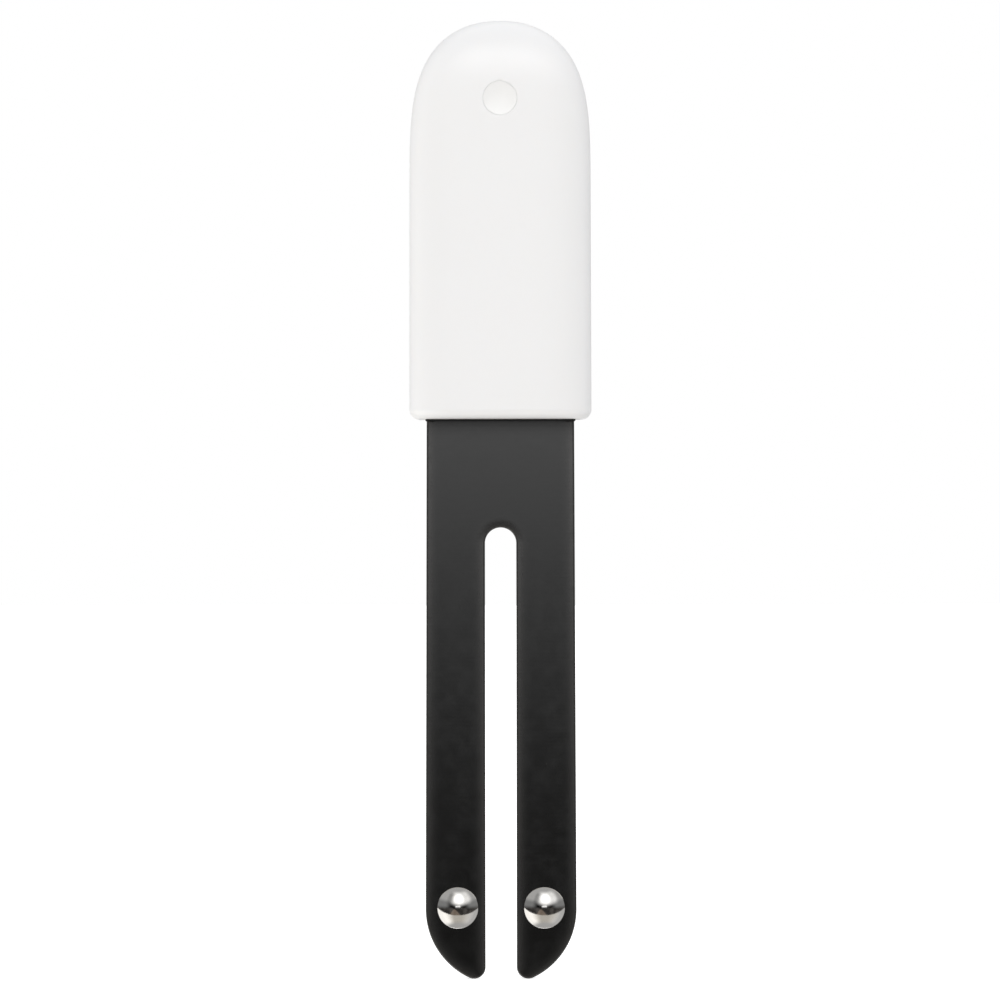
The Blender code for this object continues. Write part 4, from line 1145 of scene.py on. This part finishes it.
def make_crystal(node):
    """A crystal: dark ceramic tub with four pads, and a welded metal lid with a step round it."""
    lo, hi = size_of(node)
    bm = bmesh.new()
    box_mesh(bm, (lo[0], lo[1] + 0.28, lo[2]), (hi[0], BOARD_FACE - 0.02, hi[2]), 0.06, 3, 0)
    box_mesh(bm, (lo[0] + 0.07, lo[1] + 0.19, lo[2] + 0.07), (hi[0] - 0.07, lo[1] + 0.3, hi[2] - 0.07), 0.03, 2, 1)
    box_mesh(bm, (lo[0] + 0.22, lo[1], lo[2] + 0.22), (hi[0] - 0.22, lo[1] + 0.24, hi[2] - 0.22), 0.09, 4, 1)
    upright = (hi[2] - lo[2]) > (hi[0] - lo[0])
    x0, x1 = (lo[2], hi[2]) if upright else (lo[0], hi[0])
    z0, z1 = (lo[0], hi[0]) if upright else (lo[2], hi[2])
    wide = (z1 - z0)
    rows = (z0 + wide * 0.24, z0 + wide * 0.76) if wide > 2 else ((z0 + z1) / 2,)
    for z in rows:
        for x, out in ((x0 + 0.02, -0.2), (x1 - 0.02, 0.2)):
            fillet(bm, x, out, 0.7, z, 0.22, upright, 2, 5)
    return done(node + "_canned", bm, [MAT["alumina"], MAT["lid"], MAT["solder"]], "probe", (node,), "crystal_steel", 35.0)


def make_light_parts():
    lo, hi = size_of("light_sensor")
    bm = bmesh.new()
    box_mesh(bm, (lo[0] + 0.03, lo[1], lo[2] + 0.03), (hi[0] - 0.03, BOARD_FACE - 0.16, hi[2] - 0.03), 0.05, 3, 0)
    box_mesh(bm, (lo[0], BOARD_FACE - 0.18, lo[2]), (hi[0], BOARD_FACE - 0.02, hi[2]), 0.02, 2, 1)
    cx, cz = (lo[0] + hi[0]) / 2, (lo[2] + hi[2]) / 2
    box_mesh(bm, (cx - 0.32, BOARD_FACE - 0.30, cz - 0.32), (cx + 0.32, BOARD_FACE - 0.17, cz + 0.32), 0.02, 2, 1)
    for z in (lo[2] + 0.25, cz, hi[2] - 0.25):
        for x, out in ((lo[0] + 0.01, -0.16), (hi[0] - 0.01, 0.16)):
            fillet(bm, x, out, 0.26, z, 0.12, False, 2, 4)
    done("light_sensor_resin", bm, [MAT["amber"], MAT["chip"], MAT["solder"]], "probe", ("light_sensor",), "sensor_clear", 35.0)
    lo, hi = size_of("status_led")
    bm = bmesh.new()
    cx = (lo[0] + hi[0]) / 2
    box_mesh(bm, (lo[0], BOARD_FACE - 0.22, lo[2]), (hi[0], BOARD_FACE - 0.02, hi[2]), 0.02, 2, 0)
    box_mesh(bm, (lo[0] + 0.02, lo[1], lo[2] + 0.26), (hi[0] - 0.02, BOARD_FACE - 0.2, hi[2] - 0.26), 0.12, 4, 1)
    for x, out in ((lo[2] + 0.01, -0.18), (hi[2] - 0.01, 0.18)):
        fillet(bm, x, out, hi[0] - lo[0] - 0.1, cx, 0.16, True, 2, 4)
    done("status_led_lens", bm, [MAT["led"], MAT["phosphor"], MAT["solder"]], "probe", ("status_led",), "led_white", 35.0)


def make_tracks():
    """Copper runs under the mask, plated holes and test pads on the board's front."""
    y0, y1 = BOARD_FACE - 0.016, BOARD_FACE + 0.02
    bm = bmesh.new()

    def run(points, width):
        h = width / 2
        left, right = [], []
        for i, (x, z) in enumerate(points):
            dirs = []
            if i:
                dirs.append((x - points[i - 1][0], z - points[i - 1][1]))
            if i + 1 < len(points):
                dirs.append((points[i + 1][0] - x, points[i + 1][1] - z))
            units = [(dx / math.hypot(dx, dz), dz / math.hypot(dx, dz)) for dx, dz in dirs]
            nx, nz = sum(-u[1] for u in units), sum(u[0] for u in units)
            length = math.hypot(nx, nz)
            nx, nz = nx / length, nz / length
            k = h / max(0.4, nx * -units[0][1] + nz * units[0][0])
            left.append((x + nx * k, z + nz * k))
            right.append((x - nx * k, z - nz * k))
        loop = left + list(reversed(right))
        a = [bm.verts.new((x, y0, z)) for x, z in loop]
        b = [bm.verts.new((x, y1, z)) for x, z in loop]
        bm.faces.new(a)
        bm.faces.new(list(reversed(b)))
        bridge(bm, [a, b])

    for k in range(4):                      # bus between the radio and the memory
        run([(1.35, 26.4 - 0.45 * k), (2.0 + 0.22 * k, 26.4 - 0.45 * k), (2.75, 25.3 - 0.2 * k), (2.75 + 0.0 * k, 22.9 - 0.55 * k + 0.3),
             (3.0, 21.6 - 0.6 * k)], 0.16)
    for k in range(4):                      # from the radio down to the sensor chip
        x = -2.7 + 0.5 * k
        run([(x, 23.0), (x, 21.9), (x - 0.35, 21.5), (x - 0.35, 16.2), (x, 15.8), (x, 14.6)], 0.16)
    run([(-6.2, 18.9), (-6.2, 17.4), (-5.2, 16.4), (-5.2, 12.2), (-4.5, 11.5)], 0.42)
    run([(-6.4, 27.0), (-6.4, 27.8), (-5.9, 28.3), (-3.8, 28.3), (-3.2, 27.8)], 0.2)
    run([(-6.4, 23.4), (-6.4, 22.9), (-5.6, 22.1), (-3.9, 23.4)], 0.2)
    run([(0.6, 28.3), (0.6, 33.2), (-1.2, 35.0), (-3.3, 37.1), (-3.3, 42.3)], 0.34)
    run([(5.0, 28.1), (5.0, 31.6), (3.6, 33.0), (3.6, 40.2), (2.6, 41.2), (1.9, 41.2)], 0.2)
    run([(-0.9, 40.3), (-0.9, 38.0), (0.6, 36.5), (0.6, 34.8)], 0.2)
    run([(-7.6, 9.6), (-7.6, 12.0), (-7.0, 12.6), (-7.0, 30.2)], 0.3)
    run([(7.6, 9.6), (7.6, 30.2)], 0.5)
    run([(4.6, 10.2), (4.6, 9.2), (2.2, 9.2), (1.6, 9.8), (1.6, 10.7)], 0.2)
    run([(2.1, 14.8), (3.4, 14.8), (4.6, 13.6), (4.6, 12.2)], 0.2)
    run([(-1.0, 19.6), (-0.2, 19.6)], 0.2)
    run([(0.8, 19.6), (2.6, 19.6)], 0.2)
    done("copper_runs", bm, MAT["track"], "probe", slot="board_mask", angle=30.0)
    holes = [(2.75, 24.2), (-4.9, 18.3), (-5.2, 14.0), (3.4, 17.3), (0.6, 31.0), (6.5, 23.6), (5.4, 16.6), (-0.3, 17.6), (1.1, 22.4),
             (-6.6, 11.3), (6.2, 13.4), (3.1, 12.4), (-3.4, 10.2), (0.2, 10.4), (-5.6, 21.6), (6.7, 29.2), (-0.6, 30.4), (3.1, 30.3)]
    bm = bmesh.new()
    steps = 20
    for x, z in holes + [(2.9, 17.9), (4.4, 17.9), (5.9, 17.9), (-3.4, 17.2)]:
        pad = (x, z) not in holes
        rows = ((0.44, y1), (0.44, y0), (0.40, y0 - 0.012), (0.06, y0 - 0.014), (0.05, y1)) if pad else \
            ((0.26, y1), (0.26, y0), (0.23, y0 - 0.012), (0.15, y0 - 0.008), (0.13, y0 + 0.004), (0.12, y1))
        rings = [[bm.verts.new((x + r * math.cos(2 * math.pi * k / steps), y, z + r * math.sin(2 * math.pi * k / steps)))
                  for k in range(steps)] for r, y in rows]
        bridge(bm, rings, closed=True)
    done("plated_holes", bm, MAT["gold"], "probe", slot="antenna_copper", angle=30.0)


def make_cell_metal():
    """The coin cell's outside, turned finely, with a rolled crimp and a shallow ring pressed into its rear face."""
    y0, y1 = CELL_Y0, CELL_Y0 + CELL_T
    R = CELL_R
    loop = [(0.0, y1 - 0.3), (R - 0.4, y1 - 0.3), (R - 0.25, y1 - 0.45), (R - 0.25, y0 + 0.5), (R - 1.15, y0 + 0.32)]
    loop += [(R - 1.15 - 0.03, y0 + 0.24), (R - 1.15, y0 + 0.13), (R - 1.05, y0 + 0.10), (R - 0.55, y0 + 0.13)]
    for k in range(1, 9):
        t = 0.5 * math.pi * k / 8
        loop.append((R - 0.42 + 0.42 * math.sin(t), y0 + 0.55 - 0.42 * math.cos(t)))
    loop.append((R, y1 - 0.48))
    for k in range(1, 9):
        t = 0.5 * math.pi * k / 8
        loop.append((R - 0.48 + 0.48 * math.cos(t), y1 - 0.48 + 0.48 * math.sin(t)))
    loop += [(R - 1.25, y1), (R - 1.32, y1 - 0.03), (R - 1.5, y1 - 0.035), (R - 1.58, y1), (0.0, y1)]
    turned("cell_can_turned", loop, (0.0, CELL_Z), MAT["can"], 144, replaces=("cell_can",), slot="cell_steel", angle=30.0)
    r = R - 1.35
    small = [(0.0, y0 + 0.02), (r - 1.2, y0 + 0.02), (r - 1.1, y0 + 0.045), (r - 0.9, y0 + 0.05), (r - 0.6, y0 + 0.05),
             (r - 0.35, y0 + 0.08), (r - 0.15, y0 + 0.18), (r - 0.03, y0 + 0.32), (r, y0 + 0.45), (r, y0 + 0.72), (r - 0.25, y0 + 0.72),
             (r - 0.25, y0 + 0.42), (r - 0.6, y0 + 0.27), (0.0, y0 + 0.27)]
    turned("cell_cap_turned", small, (0.0, CELL_Z), MAT["cellcap"], 128, replaces=("cell_cap",), slot="cell_cap_steel", angle=30.0)
    ring = [(r + 0.05, y0 + 0.14), (r + 0.08, y0 + 0.11), (R - 1.24, y0 + 0.11), (R - 1.2, y0 + 0.15), (R - 1.2, y0 + 0.36),
            (R - 0.7, y0 + 0.5), (R - 0.7, y0 + 0.66), (r + 0.05, y0 + 0.66)]
    turned("cell_gasket_ring", ring, (0.0, CELL_Z), MAT["gasket"], 128, solid=False, replaces=("cell_gasket",), slot="gasket_dark",
           angle=30.0)


make_cap()
make_window()
make_board()
make_electrodes()
make_blade_seal()
make_plug()
make_seal_ring()
make_chassis_front()
make_battery_tray()
make_light_pipe()
make_tracks()
make_cell_metal()
make_light_parts()
make_flat_chip("radio_chip", 9, 0.5)
make_flat_chip("sensor_chip", 6, 0.5)
make_leaded_chip("flash_chip", 4, 0.65)
make_crystal("main_crystal")
make_crystal("clock_crystal")
make_passive("thermistor", "thermistor", slot="thermistor_dark")
make_passive("inductor", "ferrite", 0.05, 0.34, slot="inductor_grey")
for k in range(6):
    make_passive("capacitor_%d" % (k + 1), "cap_tan", slot="capacitor_tan")
for k in range(4):
    make_passive("resistor_%d" % (k + 1), "resistor", 0.015, 0.26, slot="resistor_black")

# ------------------------------------------------------------------ finishes of the CAD nodes that stay
STAYS = {"antenna_trace": "gold", "positive_contact": "nickel", "negative_contact": "nickel", "cell_anode": "lithium",
         "cell_separator": "paper", "cell_cathode": "oxide"}
for node, key in STAYS.items():
    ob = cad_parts[node]
    ob.data.materials.clear()
    ob.data.materials.append(MAT[key])
    mod = ob.modifiers.new("edge_rounding", "BEVEL")
    mod.width, mod.segments, mod.limit_method, mod.angle_limit = 0.03 * MM, 2, "ANGLE", math.radians(40.0)

# ------------------------------------------------------------------ stage, light and camera
FLOOR_Z = CAD_BOX[0].z - 0.00002


def emission(name, rgb, strength):
    m = bpy.data.materials.new(name)
    m.use_nodes = True
    nt = m.node_tree
    nt.nodes.clear()
    out = nt.nodes.new("ShaderNodeOutputMaterial")
    em = nt.nodes.new("ShaderNodeEmission")
    em.inputs["Color"].default_value = (*rgb, 1.0)
    em.inputs["Strength"].default_value = strength
    nt.links.new(em.outputs[0], out.inputs["Surface"])
    return m


def stage_mesh(name, bm, mat, camera_only=True):
    me = bpy.data.meshes.new(name)
    bm.to_mesh(me)
    bm.free()
    me.materials.append(mat)
    ob = bpy.data.objects.new(name, me)
    scene.collection.objects.link(ob)
    if camera_only:
        ob.visible_diffuse = ob.visible_glossy = ob.visible_transmission = False
        ob.visible_shadow = ob.visible_volume_scatter = False
    return ob


def make_stage():
    bm = bmesh.new()
    bmesh.ops.create_icosphere(bm, subdivisions=4, radius=4.0)
    bmesh.ops.reverse_faces(bm, faces=bm.faces)
    stage_mesh("backdrop", bm, emission("backdrop_white", (1.0, 1.0, 1.0), 1.0))
    floor = Mat("floor_pale", (0.93, 0.93, 0.93), 0.7, spec=0.2)
    floor.p.inputs["Emission Color"].default_value = (1.0, 1.0, 1.0, 1.0)
    floor.p.inputs["Emission Strength"].default_value = 0.62
    bm = bmesh.new()
    bmesh.ops.create_grid(bm, x_segments=1, y_segments=1, size=3.4)
    for v in bm.verts:
        v.co.z = FLOOR_Z
    nt = floor.m.node_tree
    geo, mix, clear = (nt.nodes.new(kind) for kind in ("ShaderNodeNewGeometry", "ShaderNodeMixShader", "ShaderNodeBsdfTransparent"))
    out = next(n for n in nt.nodes if n.bl_idname == "ShaderNodeOutputMaterial")
    nt.links.new(geo.outputs["Backfacing"], mix.inputs[0])
    nt.links.new(floor.p.outputs[0], mix.inputs[1])
    nt.links.new(clear.outputs[0], mix.inputs[2])
    nt.links.new(mix.outputs[0], out.inputs["Surface"])
    stage_mesh("floor", bm, floor.m)


# strength of each part of the studio's light, as radiance
LIGHT = {
    "key": 2.9,          # softbox, in front and above
    "halo": 1.46,        # cloth lit round the softbox
    "glow": 2.2,        # its pale stand, level with the camera
    "wings": 2.2,       # card on both sides of the stand
    "zenith": 0.76,      # roof of the tent
    "up_left": 0.78,     # sides of the tent
    "up_right": 0.71,
    "mid_left": 0.40,
    "mid_right": 0.41,
    "dark": 0.085,       # unlit room between the stand and the table
    "table": 0.92,       # pale table in front, below
    "table_left": 2.1,
    "table_right": 0.90,
    "stand": 0.26,        # brown clutter under the softbox
    "nadir": 0.75,
    "rear": 0.62,
    "rear_low": 0.85,
}
TINT = {"table": (1.0, 0.955, 0.87), "table_left": (1.0, 0.985, 0.955), "dark": (1.0, 0.93, 0.88), "stand": (1.0, 0.76, 0.58),
        "mid_left": (0.98, 0.99, 1.0), "mid_right": (0.98, 0.99, 1.0)}
TABLE_EDGE = math.tan(math.radians(31.0))      # slope down to the table's straight front edge


def make_world():
    """A studio tent written as a rule of direction: azimuth 0 is where the camera stands."""
    w = bpy.data.worlds.new("studio")
    scene.world = w
    w.use_nodes = True
    nt = w.node_tree
    nt.nodes.clear()
    tc = nt.nodes.new("ShaderNodeTexCoord")
    sep = nt.nodes.new("ShaderNodeSeparateXYZ")
    nt.links.new(tc.outputs["Generated"], sep.inputs[0])
    x, y, z = (Ex(nt, sep.outputs[k]) for k in range(3))
    el = z.op("ARCSINE") * (180.0 / math.pi)
    ahead, down = y * -1.0, z * -1.0
    az = x.op("ARCTAN2", ahead) * (180.0 / math.pi)
    wide = abs(az)
    front = ahead.step(-0.25, 0.25)
    back = y.step(0.1, 0.7)
    table = (down - ahead.high(0.0) * TABLE_EDGE).step(-0.02, 0.02) * down.step(0.0, 0.12)
    above = table * -1.0 + 1.0
    low = el.step(-70.0, -50.0)
    rising = el.step(-4.6, 3.7, "LINEAR")
    left, right = az.step(-24.0, -50.0) * az.step(-130.0, -100.0), az.step(24.0, 50.0) * az.step(130.0, 100.0)
    high, level = el.step(14.0, 30.0) * el.step(60.0, 44.0), el.step(-8.0, 6.0) * el.step(30.0, 14.0)
    clutter = nt.nodes.new("ShaderNodeTexNoise")
    nt.links.new(tc.outputs["Generated"], clutter.inputs["Vector"])
    clutter.inputs["Scale"].default_value = 2.6
    clutter.inputs["Detail"].default_value = 2.0
    busy = Ex(nt, clutter.outputs["Fac"])
    masks = {
        "key": abs(az - 4.0).step(34.0, 0.0) * el.step(5.0, 33.0) * el.step(60.0, 33.0),
        "halo": abs(az - 12.0).step(56.0, 20.0) * (el + abs(az - 4.0) * -0.25).step(-4.0, 16.0) * el.step(66.0, 44.0) * (busy * 0.8 + 0.6),
        "glow": wide.step(8.0, 2.5) * rising * rising * el.step(7.5, 3.0),
        "wings": wide.step(3.0, 6.0) * wide.step(12.0, 6.5) * rising * rising * el.step(7.5, 3.0),
        "zenith": el.step(44.0, 60.0),
        "up_left": left * high,
        "up_right": right * high,
        "mid_left": left * level,
        "mid_right": right * level,
        "dark": front * above * el.step(2.0, -6.0) * (busy.step(0.40, 0.66) * 1.2 + 0.6),
        "stand": (abs(az + 13.0) + (el + 16.0) * 0.9).step(12.0, 8.0) * above * front * el.step(-6.0, -9.0),
        "table": table * front * wide.step(75.0, 20.0) * low,
        "table_left": table * az.step(-14.0, -62.0) * az.step(-130.0, -100.0) * low,
        "table_right": table * az.step(16.0, 62.0) * az.step(130.0, 100.0) * low,
        "nadir": el.step(-50.0, -70.0),
        "rear": back * el.step(-8.0, 6.0),
        "rear_low": back * el.step(6.0, -8.0) * low,
    }
    total = None
    for key, mask in masks.items():
        amount = mask * LIGHT[key]
        amount.socket.node.name = "light_" + key
        comb = nt.nodes.new("ShaderNodeCombineColor")
        for k in range(3):
            nt.links.new((amount * TINT.get(key, (1.0, 1.0, 1.0))[k]).socket, comb.inputs[k])
        if total is None:
            total = comb.outputs[0]
        else:
            add = nt.nodes.new("ShaderNodeVectorMath")
            add.operation = "ADD"
            nt.links.new(total, add.inputs[0])
            nt.links.new(comb.outputs[0], add.inputs[1])
            total = add.outputs[0]
    bg = nt.nodes.new("ShaderNodeBackground")
    nt.links.new(total, bg.inputs["Color"])
    out = nt.nodes.new("ShaderNodeOutputWorld")
    nt.links.new(bg.outputs[0], out.inputs["Surface"])
    w.cycles.sampling_method = "MANUAL"
    w.cycles.sample_map_resolution = 1024


def make_camera():
    cam = bpy.data.cameras.new("camera")
    ob = bpy.data.objects.new("camera", cam)
    scene.collection.objects.link(ob)
    distance, x = 0.60, -0.00007
    aim = Vector((x, 0.0, -0.01054))
    ob.location = (x, -distance, -distance * math.tan(math.radians(1.5)))
    look = (aim - ob.location).to_track_quat("-Z", "Y")
    roll = Quaternion((0.0, 0.0, 1.0), -0.0015)
    ob.rotation_euler = (look @ roll).to_euler()
    cam.sensor_width = 36.0
    cam.lens = 36.0 * (aim - ob.location).length / 0.13044
    cam.clip_start, cam.clip_end = 0.01, 20.0
    scene.camera = ob


make_stage()
make_world()
make_camera()
scene.view_settings.view_transform = "Standard"
scene.view_settings.look = "None"
scene.cycles.use_denoising = True
scene.cycles.max_bounces = 8
scene.cycles.transparent_max_bounces = 8
